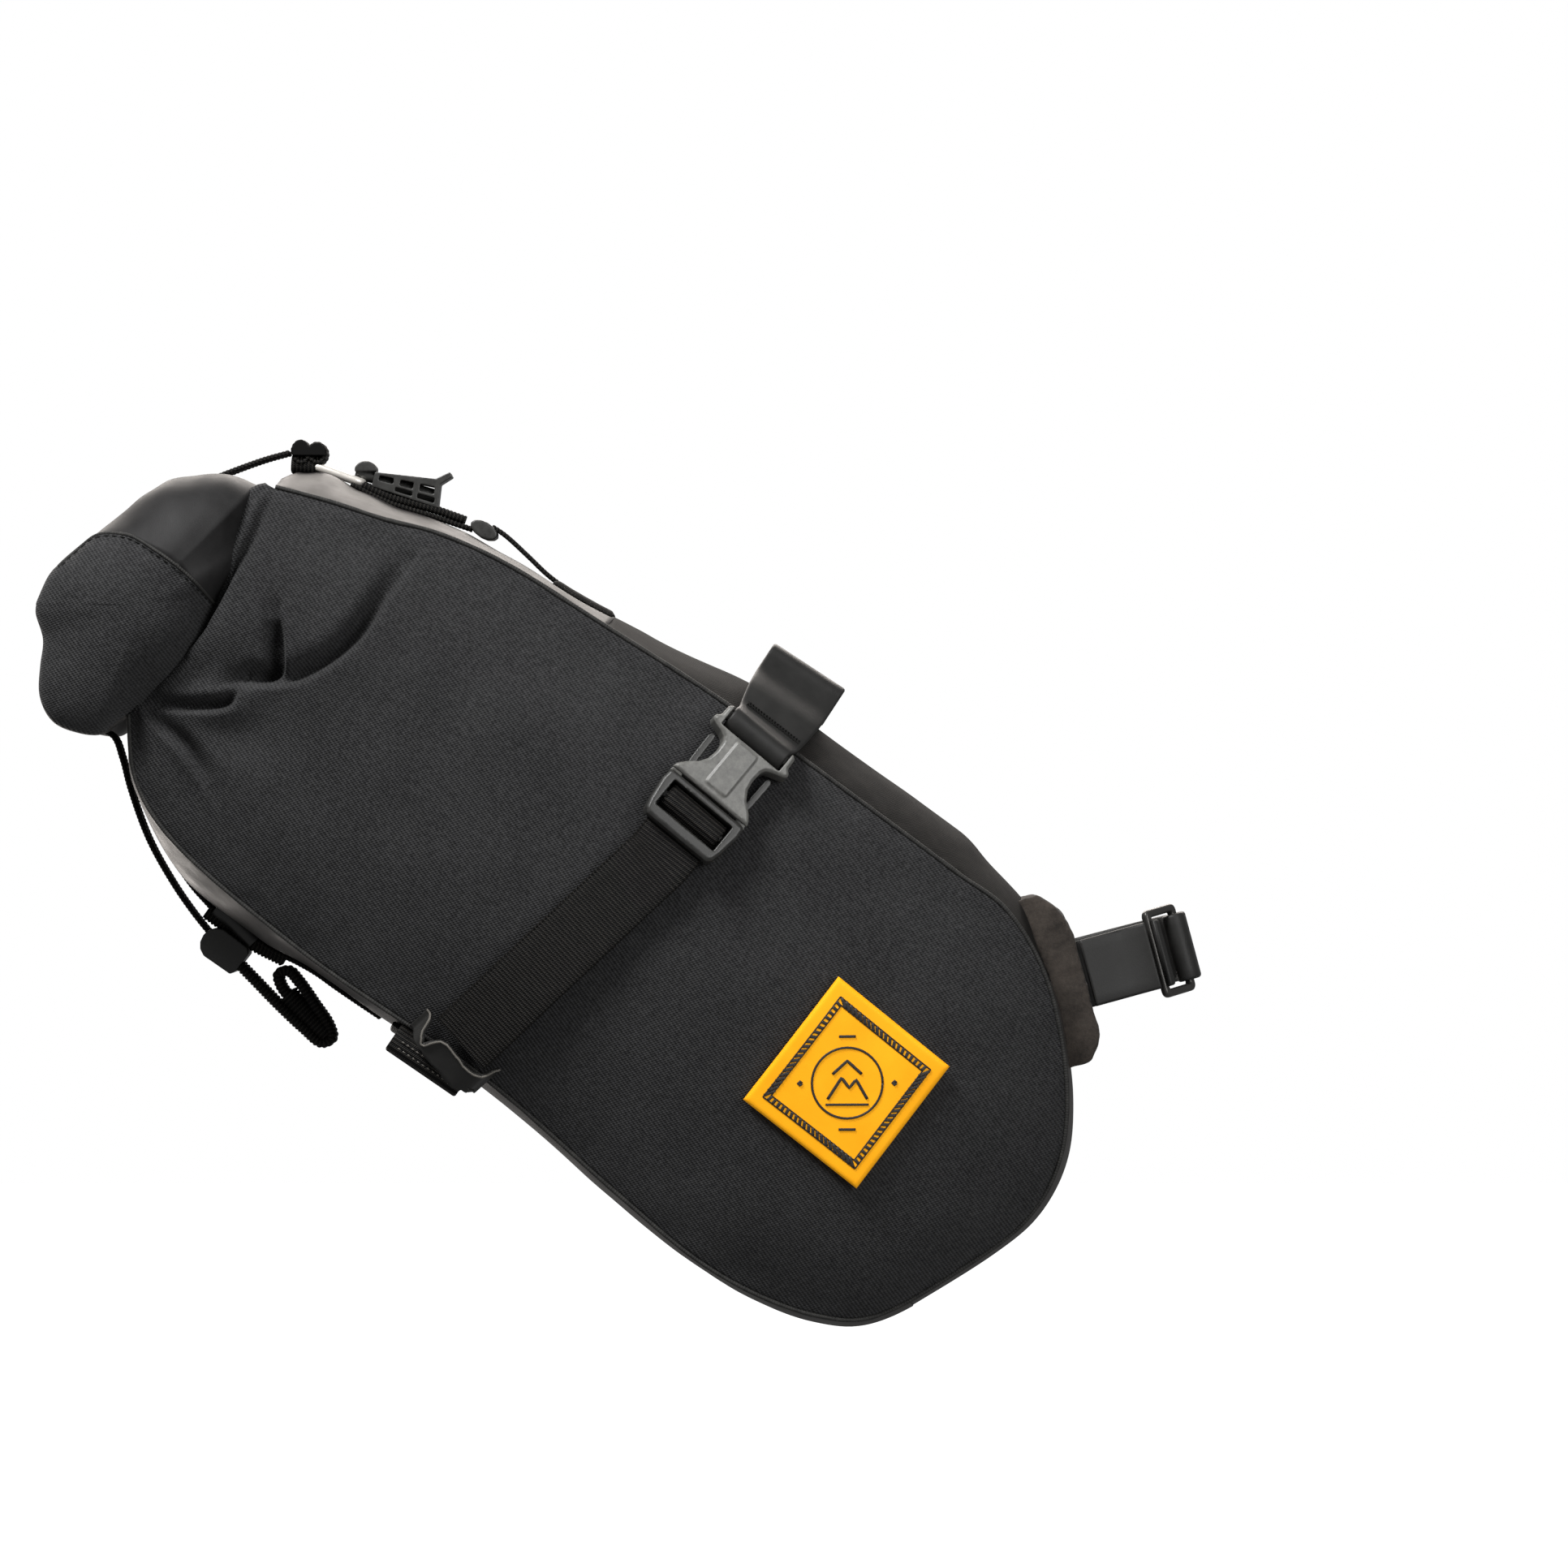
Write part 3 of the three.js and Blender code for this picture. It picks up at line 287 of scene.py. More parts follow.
def strap(name, path, across, width, thick, material, widths=None, step=0.9, curved=True):
    """A strap along a path, with cross ribs if it is webbing; widths may vary along it."""
    line = strap_line(path, across, width if widths is None else widths, curved)
    run = lengths(line[:, :3])
    ribbed = material is RIBBED
    count = max(int(run[-1] / (RIB_PITCH / RIB_STEPS if ribbed else step)), 4)
    places = np.linspace(0, run[-1], count + 1)
    line = along(line, run, places)
    tangent = unit(np.gradient(line[:, :3], axis=0))
    normal = unit(np.cross(tangent, line[:, 3:6]))
    side = unit(np.cross(normal, tangent))
    swell = np.ones(count + 1)
    if ribbed:
        swell = 0.84 + 0.3 * np.abs(np.sin(math.pi * places / RIB_PITCH)) ** 0.7
    shape = section(width, thick)
    points = (line[:, None, :3]
              + side[:, None] * (shape[:, :1] * (line[:, 6] / width)[:, None, None])
              + normal[:, None] * shape[:, 1:] * swell[:, None, None])
    around = lengths(np.vstack([shape, shape[:1]]))[:-1]
    return outward(mesh_object(name, points, swept_faces(count + 1, len(shape)), material,
                               paired(places[:, None], around)))


def tube(name, path, radius, material, sides, closed=False):
    """A round wire or piping along a path."""
    path = np.asarray(path, float)
    if closed:
        tangent = unit(np.roll(path, -1, 0) - np.roll(path, 1, 0))
    else:
        tangent = unit(np.gradient(path, axis=0))
    guide = UP
    guides = []
    for t in tangent:
        guide = unit(guide - t * guide.dot(t))
        guides.append(guide)
    u = np.array(guides)[:, None]
    v = np.cross(tangent, np.array(guides))[:, None]
    turn = np.arange(sides) * 2 * math.pi / sides
    wide = np.broadcast_to(np.asarray(radius, float), len(path))[:, None, None]
    points = round_points(path[:, None], wide, turn, u, v)
    uvs = paired(lengths(path)[:, None], turn * np.mean(wide))
    return outward(mesh_object(name, points, swept_faces(len(path), sides, closed), material, uvs))


STITCH_SIDES = 6
STITCH_ROWS = 7
STITCH_RISE = 0.22  # of a stitch's middle over the cloth
STITCH_SINK = 0.05


def stitches(name, starts, ends, normal, material, radius):
    """A row of stitches: each a short thread that dips at both ends."""
    turn = np.arange(STITCH_SIDES) * 2 * math.pi / STITCH_SIDES
    s = np.linspace(0, 1, STITCH_ROWS)
    wide = radius * np.sqrt(np.maximum(0.06, 1 - (2 * s - 1) ** 2))[:, None, None]
    rise = (STITCH_RISE * np.sin(math.pi * s) - STITCH_SINK)[:, None]
    points, faces = [], []
    for a, b in zip(starts, ends):
        middle = a + (b - a) * s[:, None] + normal * rise
        start = len(points) * STITCH_ROWS * STITCH_SIDES
        points.append(round_points(middle[:, None], wide, turn, normal,
                                   np.cross(unit(b - a), normal)))
        faces += swept_faces(STITCH_ROWS, STITCH_SIDES, start=start)
    return outward(mesh_object(name, np.array(points), faces, material))


def stitch_line(name, path, normal, material, length, gap, radius):
    run = lengths(path)
    begin = np.arange(gap, run[-1] - length, length + gap)
    return stitches(name, along(path, run, begin), along(path, run, begin + length), normal,
                    material, radius)


def moulded(name, node, material, voxel=0.3, soften=5):
    """A moulded part: the CAD node's shape with its edges rounded over."""
    obj = link(bpy.data.objects.new(name, NODES[node].data.copy()))
    obj.data.materials.clear()
    obj.data.materials.append(material)
    remesh = obj.modifiers.new("remesh", "REMESH")
    remesh.mode = "VOXEL"
    remesh.voxel_size = voxel * MM
    smooth = obj.modifiers.new("smooth", "SMOOTH")
    smooth.iterations = soften
    settled(obj)
    obj.data.shade_smooth()
    return obj


def on_body(obj, body, node=None):
    """Rides a piece on its body, and hides the CAD node it stands for."""
    if node:
        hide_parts(node)
    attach(obj, body)
    return obj


def cast(name, node, body, material, voxel=0.3, soften=5):
    """A moulded part on its body, in the place of its CAD node."""
    return on_body(moulded(name, node, material, voxel, soften), body, node)


# ---- Materials ----

class Nodes:
    """A material's node tree with short names for what is used often."""

    def __init__(self, slot, color, roughness, specular=0.5, **constants):
        self.material = bpy.data.materials.new(slot + "_finish")
        self.material["slot"] = slot
        self.material.use_nodes = True
        self.tree = self.material.node_tree
        self.shader = self.tree.nodes["Principled BSDF"]
        values = {"Base Color": (*color, 1), "Roughness": roughness,
                  "Specular IOR Level": specular, **constants}
        for key, value in values.items():
            self.shader.inputs[key.replace("_", " ")].default_value = value

    def new(self, kind):
        return self.tree.nodes.new("ShaderNode" + kind)

    def link(self, source, target):
        self.tree.links.new(source, target)

    def feed(self, source, socket):
        self.link(source, self.shader.inputs[socket])

    def math(self, operation, a, b=0.0):
        made = self.new("Math")
        made.operation = operation
        for socket, value in zip(made.inputs, (a, b)):
            if isinstance(value, (int, float)):
                socket.default_value = value
            else:
                self.link(value, socket)
        return made.outputs[0]

    def mix(self, *parts):
        """The sum of some values, each times its own weight."""
        terms = [self.math("MULTIPLY", value, weight) for value, weight in parts]
        total = terms[0]
        for term in terms[1:]:
            total = self.math("ADD", total, term)
        return total

    def cloth(self):
        """Millimetres along and across the cloth, from the piece's own UVs."""
        uv = self.new("UVMap")
        uv.uv_map = "cloth"
        parts = self.new("SeparateXYZ")
        self.link(uv.outputs[0], parts.inputs[0])
        return [self.math("MULTIPLY", parts.outputs[k], UV_UNIT) for k in range(2)]

    def wave(self, value, period):
        return self.math("SINE", self.math("MULTIPLY", value, 2 * math.pi / period))

    def noise(self, size, detail=3.0, rough=0.6):
        """Noise from 0 to 1 with lumps of about size millimetres."""
        made = self.new("TexNoise")
        place = self.new("TexCoord").outputs["Object"]
        self.link(place, made.inputs["Vector"])
        made.inputs["Scale"].default_value = 1 / (size * MM)
        made.inputs["Detail"].default_value = detail
        made.inputs["Roughness"].default_value = rough
        return made.outputs["Fac"]

    def tint(self, value, low, high, first, last):
        """Colours the surface from first to last as value goes from low to high."""
        made = self.new("ValToRGB")
        for stop, place, color in zip(made.color_ramp.elements, (low, high), (first, last)):
            stop.position = place
            stop.color = (*color, 1)
        self.link(value, made.inputs[0])
        self.feed(made.outputs[0], "Base Color")

    def roughen(self, value, first, last):
        """Takes the roughness from first to last as value goes over the noise's usual range."""
        made = self.new("MapRange")
        self.link(value, made.inputs[0])
        for socket, number in zip(made.inputs[1:5], (0.3, 0.7, first, last)):
            socket.default_value = number
        self.feed(made.outputs[0], "Roughness")

    def bump(self, height, depth, strength):
        made = self.new("Bump")
        made.inputs["Distance"].default_value = depth * MM
        made.inputs["Strength"].default_value = strength
        self.link(height, made.inputs["Height"])
        self.feed(made.outputs[0], "Normal")


def twill(n, pitch):
    """Height of a twill weave, from about -1 to 1: diagonal wales crossed by finer threads."""
    u, v = n.cloth()
    wale = n.wave(n.mix((u, 0.8), (v, 0.6)), pitch)
    thread = n.wave(n.mix((u, 0.35), (v, -1)), pitch * 0.72)
    return n.mix((wale, 0.62), (thread, 0.38))


def plain_weave(n, pitch):
    u, v = n.cloth()
    return n.math("MULTIPLY", n.wave(u, pitch), n.wave(v, pitch))


def woven_fabric():
    n = Nodes("woven_fabric", (0.024, 0.024, 0.025), 0.85, 0.16, Sheen_Weight=0.06,
              Sheen_Roughness=0.5)
    weave = twill(n, 0.95)
    tone = n.mix((weave, 0.2), (n.noise(1.1, 4.0, 0.75), 1), (n.noise(22, 2.0), 0.2))
    n.tint(tone, 0.36, 0.9, (0.008, 0.008, 0.0085), (0.046, 0.046, 0.047))
    n.bump(weave, 0.16, 0.9)
    return n.material


def coated_fabric(dark, light, gloss):
    n = Nodes("coated_fabric", light, 0.55, gloss)
    scuff = n.noise(9, 5.0, 0.7)
    n.tint(scuff, 0.3, 0.75, dark, light)
    n.roughen(scuff, 0.5, 0.64)
    n.bump(plain_weave(n, 0.62), 0.015, 0.5)
    return n.material


def reinforced_fabric():
    n = Nodes("reinforced_fabric", (0.014, 0.0135, 0.013), 0.85, 0.12)
    n.tint(n.noise(6, 5.0, 0.7), 0.3, 0.75, (0.0085, 0.008, 0.0077), (0.0185, 0.017, 0.0155))
    n.bump(plain_weave(n, 1.1), 0.09, 0.7)
    return n.material


def ribbed_webbing():
    n = Nodes("ribbed_webbing", (0.006, 0.0056, 0.005), 0.6, 0.14)
    u, v = n.cloth()
    rib = n.wave(n.math("SUBTRACT", u, RIB_PITCH / 4), RIB_PITCH)
    yarn = n.wave(n.mix((v, 1), (u, 0.5)), 0.55)
    tone = n.mix((rib, 0.4), (yarn, 0.18), (n.noise(3, 4.0, 0.7), 0.6))
    n.tint(tone, 0.3, 0.95, (0.001, 0.0009, 0.0008), (0.028, 0.0255, 0.0222))
    n.bump(yarn, 0.07, 0.8)
    return n.material


def coated_strap():
    n = Nodes("coated_strap", (0.021, 0.0208, 0.02), 0.55, 0.3)
    scuff = n.noise(12, 4.0, 0.65)
    n.tint(scuff, 0.3, 0.7, (0.011, 0.0108, 0.0103), (0.0195, 0.019, 0.018))
    n.roughen(scuff, 0.46, 0.6)
    n.bump(n.noise(0.8, 4.0, 0.7), 0.06, 0.6)
    return n.material


def binding():
    n = Nodes("binding", (0.016, 0.016, 0.0155), 0.66, 0.3)
    n.tint(n.noise(2.5, 4.0), 0.3, 0.7, (0.012, 0.012, 0.0115), (0.03, 0.029, 0.027))
    n.bump(n.wave(n.cloth()[0], 0.8), 0.05, 0.6)
    return n.material


def buckle_plastic(shade):
    """Moulded nylon; shade is how much of the light it returns."""
    n = Nodes("buckle_plastic", (shade, shade * 0.99, shade * 0.93), 0.4)
    scuff = n.noise(2.5, 6.0, 0.8)
    n.tint(scuff, 0.3, 0.75, [shade * k for k in (0.6, 0.6, 0.56)],
           [shade * k for k in (1.5, 1.48, 1.38)])
    n.roughen(scuff, 0.34, 0.5)
    n.bump(n.noise(0.45), 0.03, 0.5)
    return n.material


def steel_wire(color):
    n = Nodes("steel_wire", color, 0.3, Metallic=0.6)
    n.roughen(n.noise(1.5, 5.0, 0.7), 0.3, 0.38)
    return n.material


def pad_foam():
    n = Nodes("foam", (0.04, 0.034, 0.03), 0.95, 0.15, Sheen_Weight=0.1)
    nap = n.noise(0.9, 5.0, 0.8)
    n.tint(n.mix((n.noise(7, 6.0, 0.75), 0.7), (nap, 0.3)), 0.34, 0.68,
           (0.022, 0.019, 0.017), (0.07, 0.058, 0.049))
    n.bump(nap, 0.35, 0.8)
    return n.material


def glowing_badge_amber():
    # The amber emission is a painted glow: the badge gives off a little light though it is no lamp.
    n = Nodes("badge", (0.95, 0.4, 0.006), 0.6, 0.15, Emission_Color=(1, 0.44, 0.012, 1),
              Emission_Strength=0.16)
    n.tint(n.noise(14), 0.3, 0.7, (0.92, 0.38, 0.004), (1.0, 0.44, 0.008))
    n.bump(n.noise(1.2, 4.0, 0.7), 0.05, 0.5)
    return n.material


def plain(slot, color, roughness, specular, grain, depth, strength):
    """One colour with a fine grain, which is given as for Nodes.noise."""
    n = Nodes(slot, color, roughness, specular)
    n.bump(n.noise(*grain), depth, strength)
    return n.material


def badge_ink():
    return plain("badge", (0.018, 0.014, 0.011), 0.6, 0.5, (0.7, 4.0, 0.7), 0.05, 0.5)


def thread():
    return plain("binding", (0.006, 0.006, 0.0055), 0.7, 0.15, (0.3, 2.0), 0.04, 0.6)


def cut_edge():
    return plain("coated_strap", (0.12, 0.112, 0.1), 0.7, 0.2, (0.5, 3.0), 0.05, 0.6)


def sheet_plastic():
    return plain("sheet_plastic", (0.01, 0.01, 0.012), 0.5, 0.5, (2, 3.0), 0.03, 0.4)


WOVEN = woven_fabric()
COATED = coated_fabric((0.026, 0.0234, 0.022), (0.038, 0.0345, 0.0325), 0.26)
# A darker, less glossy copy of the coated fabric for the roll and the throat: its darker colour is
# painted shade.
SHADED_ROLL_CLOTH = coated_fabric((0.013, 0.0127, 0.0128), (0.022, 0.0214, 0.0216), 0.15)
REINFORCED_FABRIC = reinforced_fabric()
RIBBED = ribbed_webbing()
STRAP = coated_strap()
BINDING = binding()
PLASTIC = buckle_plastic(0.025)
PALE_PLASTIC = buckle_plastic(0.125)
DARK_PLASTIC = buckle_plastic(0.012)
STEEL = steel_wire((0.86, 0.82, 0.76))
BLACK_STEEL = steel_wire((0.055, 0.053, 0.05))
FOAM = pad_foam()
# The badge's finish carries a painted glow from its emission.
GLOWING_AMBER = glowing_badge_amber()
INK = badge_ink()
THREAD = thread()
CUT_EDGE = cut_edge()
SHEET = sheet_plastic()


# ---- The bag's surface ----

SEAM_LINE = spline(level(SEAM), 40)
SEAM_RUN = lengths(SEAM_LINE)
SEAM_LENGTH = SEAM_RUN[-1]


def seam(p):
    return along(SEAM_LINE, SEAM_RUN, np.atleast_1d(p) * SEAM_LENGTH)


def away(p):
    """Square to the seam, out of the bag, in the plane of X and Z."""
    small = 0.0015
    t = unit(seam(np.minimum(p + small, 1)) - seam(np.maximum(p - small, 0)))
    return np.stack([-t[:, 2], 0 * t[:, 0], t[:, 0]], axis=1)


def half_width(p):
    share = smoothstep(np.abs(2 * np.asarray(p) - 1), 0, 0.6)
    return HALF_WIDTH_NOSE + (HALF_WIDTH_REAR - HALF_WIDTH_NOSE) * share


def crown(p):
    at, high = np.array(CROWN).T
    k = np.clip(np.searchsorted(at, p), 1, len(at) - 1)
    return high[k - 1] + (high[k] - high[k - 1]) * smoothstep(p, at[k - 1], at[k])


def gusset_point(p, t, lift=0.0):
    """Points on the gusset: p along the seam, t across it from -1 to 1."""
    p, t = np.broadcast_arrays(np.asarray(p, float), np.asarray(t, float))
    flat = p.ravel()
    rise = crown(flat) * (1 - np.abs(t.ravel()) ** CROWN_POWER) + lift
    points = seam(flat) + away(flat) * rise[:, None]
    points[:, 1] = t.ravel() * (half_width(flat) - GUSSET_INSET)
    return points.reshape(*p.shape, 3)


# ---- Folds of the side panels, as ridges and valleys along lines in X and Z ----

GATHER = (-191, -6)  # where the folds run together, at the bottom of the roll
GATHER_REACH = 26
VALLEY_OFFSET = 1.6  # from the line to the bottom of its valley
STEP_WIDTH = 0.55  # from the lip down into the valley

# line, height of the lip on its left, depth of the valley on its right, widths of both
FOLDS = [
    ([(-150.5, 58), (-153.5, 49), (-158, 38.5), (-163.6, 29.5), (-168.6, 20), (-174, 10),
      (-182, 1.5), (-190, -4.5)], 1.2, 4.2, 7, 1.7),
    ([(-149.6, 19), (-148.8, 12), (-149.4, 3), (-152, 0.6), (-162, -0.5)], 2.2, 8.5, 4, 3.6),
    ([(-113, 33), (-118.5, 25), (-125.5, 13.6), (-136, 4.6), (-148, -0.8), (-164, -1.6)],
     1.6, 7.2, 8, 3.6),
    ([(-160.5, -0.5), (-164, -7), (-176, -8.6), (-190, -7)], 3.0, 6.0, 6, 2.3),
    ([(-172, -31), (-178, -21), (-186, -12.5), (-191.5, -7)], 2.2, 4.6, 6, 3.2),
]


def from_line(line, x, z):
    """Distance from a line in X and Z, positive on its left, and the share of the way along it."""
    points = level_spline(line, 10)
    run = lengths(points)
    best = np.full(x.shape, 1e9)
    side = np.zeros(x.shape)
    share = np.zeros(x.shape)
    for (ax, az), (bx, bz), start, stop in zip(points[:-1], points[1:], run[:-1], run[1:]):
        dx, dz = bx - ax, bz - az
        t = np.clip(((x - ax) * dx + (z - az) * dz) / (dx * dx + dz * dz), 0, 1)
        ox, oz = x - ax - t * dx, z - az - t * dz
        far = np.hypot(ox, oz)
        near = far < best
        best = np.where(near, far, best)
        side = np.where(near, np.sign(dx * oz - dz * ox), side)
        share = np.where(near, (start + t * (stop - start)) / run[-1], share)
    return best * side, share


def fold_height(x, z):
    total = np.zeros(x.shape)
    for line, lip, valley, lip_width, valley_width in FOLDS:
        off, share = from_line(line, x, z)
        fade = np.clip(np.sin(math.pi * np.clip(share, 0.02, 0.98)), 0, 1) ** 0.55
        left = lip * np.exp(-(off / lip_width) ** 2)
        right = -valley * np.exp(-((off + VALLEY_OFFSET) / valley_width) ** 2)
        step = 0.5 + 0.5 * np.tanh(off / STEP_WIDTH)
        total += fade * (left * step + right * (1 - step))
    return total


# How far the mouth's edge lies forward of the straight line from its top to its bottom.
CREASE = [(0, 0.5), (0.02, -1), (0.05, -2.2), (0.1, -2.7), (0.15, -2.4), (0.3, 0.3), (0.43, 3),
          (0.56, 5), (0.7, 7), (0.8, 5.2), (0.9, 3), (1, -0.5)]
CREASE_REACH = 22
FOLDED_LENGTH = 96  # from the mouth, as far as the folds and their fine mesh reach
FINE_STEP = 0.85
COARSE_COLUMNS = 130
PANEL_ROWS = 140
SEAM_TUCK = 0.35


def ruled_panel():
    """The right panel before its folds, with each point's distance from the mouth and a seam."""
    fine = np.arange(0, FOLDED_LENGTH, FINE_STEP)
    coarse = np.linspace(FOLDED_LENGTH, NOSE_RULING * SEAM_LENGTH, COARSE_COLUMNS)
    from_mouth = np.concatenate([fine, coarse])[:, None]
    a = from_mouth[:, 0] / SEAM_LENGTH
    v = np.linspace(0, 1, PANEL_ROWS)
    top = seam(a) - away(a) * SEAM_TUCK
    bottom = seam(1 - a) - away(1 - a) * SEAM_TUCK
    height = np.linalg.norm(top - bottom, axis=1)[:, None]
    full = SIDE_BULGE * np.minimum(height / FULL_HEIGHT, 1) ** 1.3
    profile = np.maximum(0, 1 - np.abs(2 * v - 1) ** 2.4)
    mouth_lip = 2.2 * np.exp(-(from_mouth / 1.5) ** 2)
    forward = np.interp(v, *np.array(CREASE).T) * np.exp(-(from_mouth / CREASE_REACH) ** 2)
    points = top[:, None] * (1 - v[:, None]) + bottom[:, None] * v[:, None]
    points = points - REARWARD * forward[..., None]
    points[..., 1] = mouth_lip * profile ** 0.5 - half_width(a)[:, None] - full * profile
    return points, from_mouth, np.minimum(v, 1 - v) * height


def panel_relief(points, from_mouth, to_seam):
    """How far the panel's slack, folds and puckered seams lift its cloth."""
    x, z = points[..., 0], points[..., 2]
    flat = points * (1, 0.2, 1)
    slack = noise_at(flat, 46, 3) * 1.5 + noise_at(flat, 19, 4) * 0.5
    pucker = np.sin(from_mouth / 3.1 + 2.5 * noise_at(points, 30, 7)) * np.exp(-to_seam / 5) * 0.35
    gather = np.hypot(x - GATHER[0], z - GATHER[1])
    turn = np.arctan2(z - GATHER[1], x - GATHER[0])
    rays = np.sin(turn * 9 + 1.2) * np.exp(-((gather - GATHER_REACH) / 20) ** 2)
    return (smoothstep(to_seam, 0, 7) * (slack + fold_height(x, z) + rays)
            + pucker * smoothstep(to_seam, 0, 2))


def mouth_hem(edge):
    """Rows that turn the panel's edge round the mouth and into the bag, innermost first."""
    steps = [(2.8, 3.2 + deep) for deep in (12, 7, 3)]
    for turn in np.radians(np.linspace(90, 12, 7)):
        steps.append((2.6 * math.sin(turn), 3.2 * (1 - math.cos(turn))))
    return [edge + REARWARD * back + LEFT * inward for back, inward in steps]


def side_panel(side, place):
    """Half the bag's skin: ruled between the seam's top and bottom, full in the middle."""
    points, from_mouth, to_seam = ruled_panel()
    lift = panel_relief(points, from_mouth, to_seam)
    normals = grid_normals(points)
    normals *= np.sign(-normals[:, :, 1:2].mean())
    points = points + normals * lift[:, :, None]
    points = np.concatenate([*mouth_hem(points[:1]), points])
    obj = sheet_object(f"side_cloth_{side}", place(points), points[..., [0, 2]], WOVEN)
    on_body(obj, "bag", f"side_panel_{side}")


PIPING_POINTS = 620
PIPING_RADIUS = 0.68


def piping(side, place):
    """The turned seam's ridge."""
    p = np.linspace(MOUTH_TOP, MOUTH_BOTTOM, PIPING_POINTS)
    path = place(seam(p) + RIGHT * half_width(p)[:, None])
    radius = PIPING_RADIUS + 0.1 * noise_at(path, 7, 11)
    obj = tube(f"seam_ridge_{side}", path, radius, BINDING, 8)
    on_body(obj, "bag", f"seam_binding_{side}")


def bag_side(side, place):
    side_panel(side, place)
    piping(side, place)


GUSSET_STEP = 1.6
GUSSET_COLUMNS = 61


def on_gusset(name, node, p, t, points, lift, half, material, thickness=CLOTH):
    """A sheet lifted off the gusset; half is the gusset's half width, for the sheet's UVs."""
    points = points + away(p[:, 0])[:, None] * lift[..., None]
    uvs = paired(p * SEAM_LENGTH, t * half)
    on_body(sheet_object(name, points, uvs, material, thickness), "bag", node)


def gusset(name, node, p0, p1, material, seed, slack):
    """One panel of the gusset, with soft waves and the pucker of its seams."""
    steps = int((p1 - p0) * SEAM_LENGTH / GUSSET_STEP)
    p = np.linspace(p0, p1, steps + 1)[:, None]
    t = np.linspace(-1, 1, GUSSET_COLUMNS)
    points = gusset_point(p, t)
    wide = half_width(p)
    to_seam = (1 - np.abs(t)) * wide
    waves = slack * (noise_at(points, 42, seed) + 0.35 * noise_at(points, 15, seed + 1))
    ripple = np.sin(p * SEAM_LENGTH / 2.6 + 3 * noise_at(points, 25, seed + 2))
    pucker = 0.35 * ripple * np.exp(-to_seam / 4.5)
    lift = waves * smoothstep(to_seam, 0, 10) + pucker * smoothstep(to_seam, 0, 2)
    on_gusset(name, node, p, t, points, lift, wide, material)


PATCH_START = 0.124
PATCH_END = 0.153
PATCH_REACH = 0.42
PATCH_HALF = 45  # half the gusset's width there
PATCH_LIFT = 1.3
PATCH_ROUND = 0.9  # how far its edge is rounded down


def anchor_patch():
    """The sewn patch that holds the top strap's front end."""
    p = np.linspace(PATCH_START, PATCH_END, 16)[:, None]
    t = np.linspace(-PATCH_REACH, PATCH_REACH, 40)
    to_end = np.minimum(p - PATCH_START, PATCH_END - p) * SEAM_LENGTH
    edge = np.minimum(to_end, (PATCH_REACH - np.abs(t)) * PATCH_HALF)
    points = gusset_point(p, t)
    lift = PATCH_LIFT - PATCH_ROUND * (1 - smoothstep(edge, 0, 1.6))
    lift = lift + 0.12 * noise_at(points, 6, 51)
    on_gusset("anchor_patch_cloth", "top_anchor_patch", p, t, points, lift, PATCH_HALF,
              REINFORCED_FABRIC, 1.0)


both_sides(bag_side)
gusset("top_rear_cloth", "top_gusset_rear", MOUTH_TOP, REINFORCED, COATED, 21, 0.6)
gusset("top_front_cloth", "top_gusset_front", REINFORCED, NOSE_TOP, REINFORCED_FABRIC, 24, 0.7)
anchor_patch()
gusset("nose_cloth", "nose_gusset", NOSE_TOP, NOSE_BOTTOM, COATED, 27, 0.5)
gusset("bottom_cloth", "bottom_gusset", NOSE_BOTTOM, MOUTH_BOTTOM, COATED, 31, 0.8)


def skin():
    """The right side cloth's surface, for pieces that lie on it."""
    mesh = bpy.data.objects["side_cloth_right"].data
    return BVHTree.FromPolygons([v.co / MM for v in mesh.vertices],
                                [list(f.vertices) for f in mesh.polygons])


SKIN = skin()
FAR_OUT = 200  # outside everything


def on_side(x, z, lift, smooth):
    """A point over the right side cloth, by its highest place and mean normal near there."""
    normal = Vector((0, 0, 0))
    places = []
    for dx, dz in ((0, 0), (smooth, 0), (-smooth, 0), (0, smooth), (0, -smooth)):
        start = Vector((x + dx, -FAR_OUT, z + dz))
        hit, face_normal, _, _ = SKIN.ray_cast(start, Vector(LEFT))
        if hit is not None:
            places.append(hit.y)
            normal += face_normal if face_normal.y < 0 else -face_normal
    if not places:  # beyond the cloth's edge
        places.append(SKIN.find_nearest(Vector((x, -HALF_WIDTH_REAR, z)))[0].y)
        normal = Vector(RIGHT)
    return np.array((x, min(places), z)) + np.array(normal.normalized()) * lift


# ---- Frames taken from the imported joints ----

JOINTS = {joint["name"]: joint for joint in frame["joints"]}
PRONG_ROOT_ALONG = 19.7  # where the prongs spring from, down the buckle and over its back
PRONG_ROOT_HEIGHT = 4


def joint_vector(name, key):
    return np.array(JOINTS[name][key], float)


def buckle_frame():
    """The visible buckle's origin and its directions down the strap, forward and outward."""
    front = joint_vector("prong_front_press_right", "pos_m") / MM
    rear = joint_vector("prong_rear_press_right", "pos_m") / MM
    down = unit(joint_vector("plug_release_right", "axis"))
    forward = unit(front - rear)
    out = unit(np.cross(down, forward))
    if out[1] > 0:
        out = -out
    origin = (front + rear) / 2 - down * PRONG_ROOT_ALONG - out * PRONG_ROOT_HEIGHT
    return origin, down, forward, out


BUCKLE, DOWN, FORWARD, OUT = buckle_frame()


def in_buckle(l, w, n):
    """l down the strap, w forward and n outward from the buckle's origin."""
    return BUCKLE + DOWN * l + FORWARD * w + OUT * n


# ---- Buckles and side webbing ----

def buckle(side):
    for part, body, material in (("buckle_socket", "bag", PALE_PLASTIC),
                                 ("buckle_plug", f"plug_{side}", PLASTIC),
                                 ("prong_front", f"prong_front_{side}", PLASTIC),
                                 ("prong_rear", f"prong_rear_{side}", PLASTIC)):
        cast(f"moulded_{part}_{side}", f"{part}_{side}", body, material, 0.28)


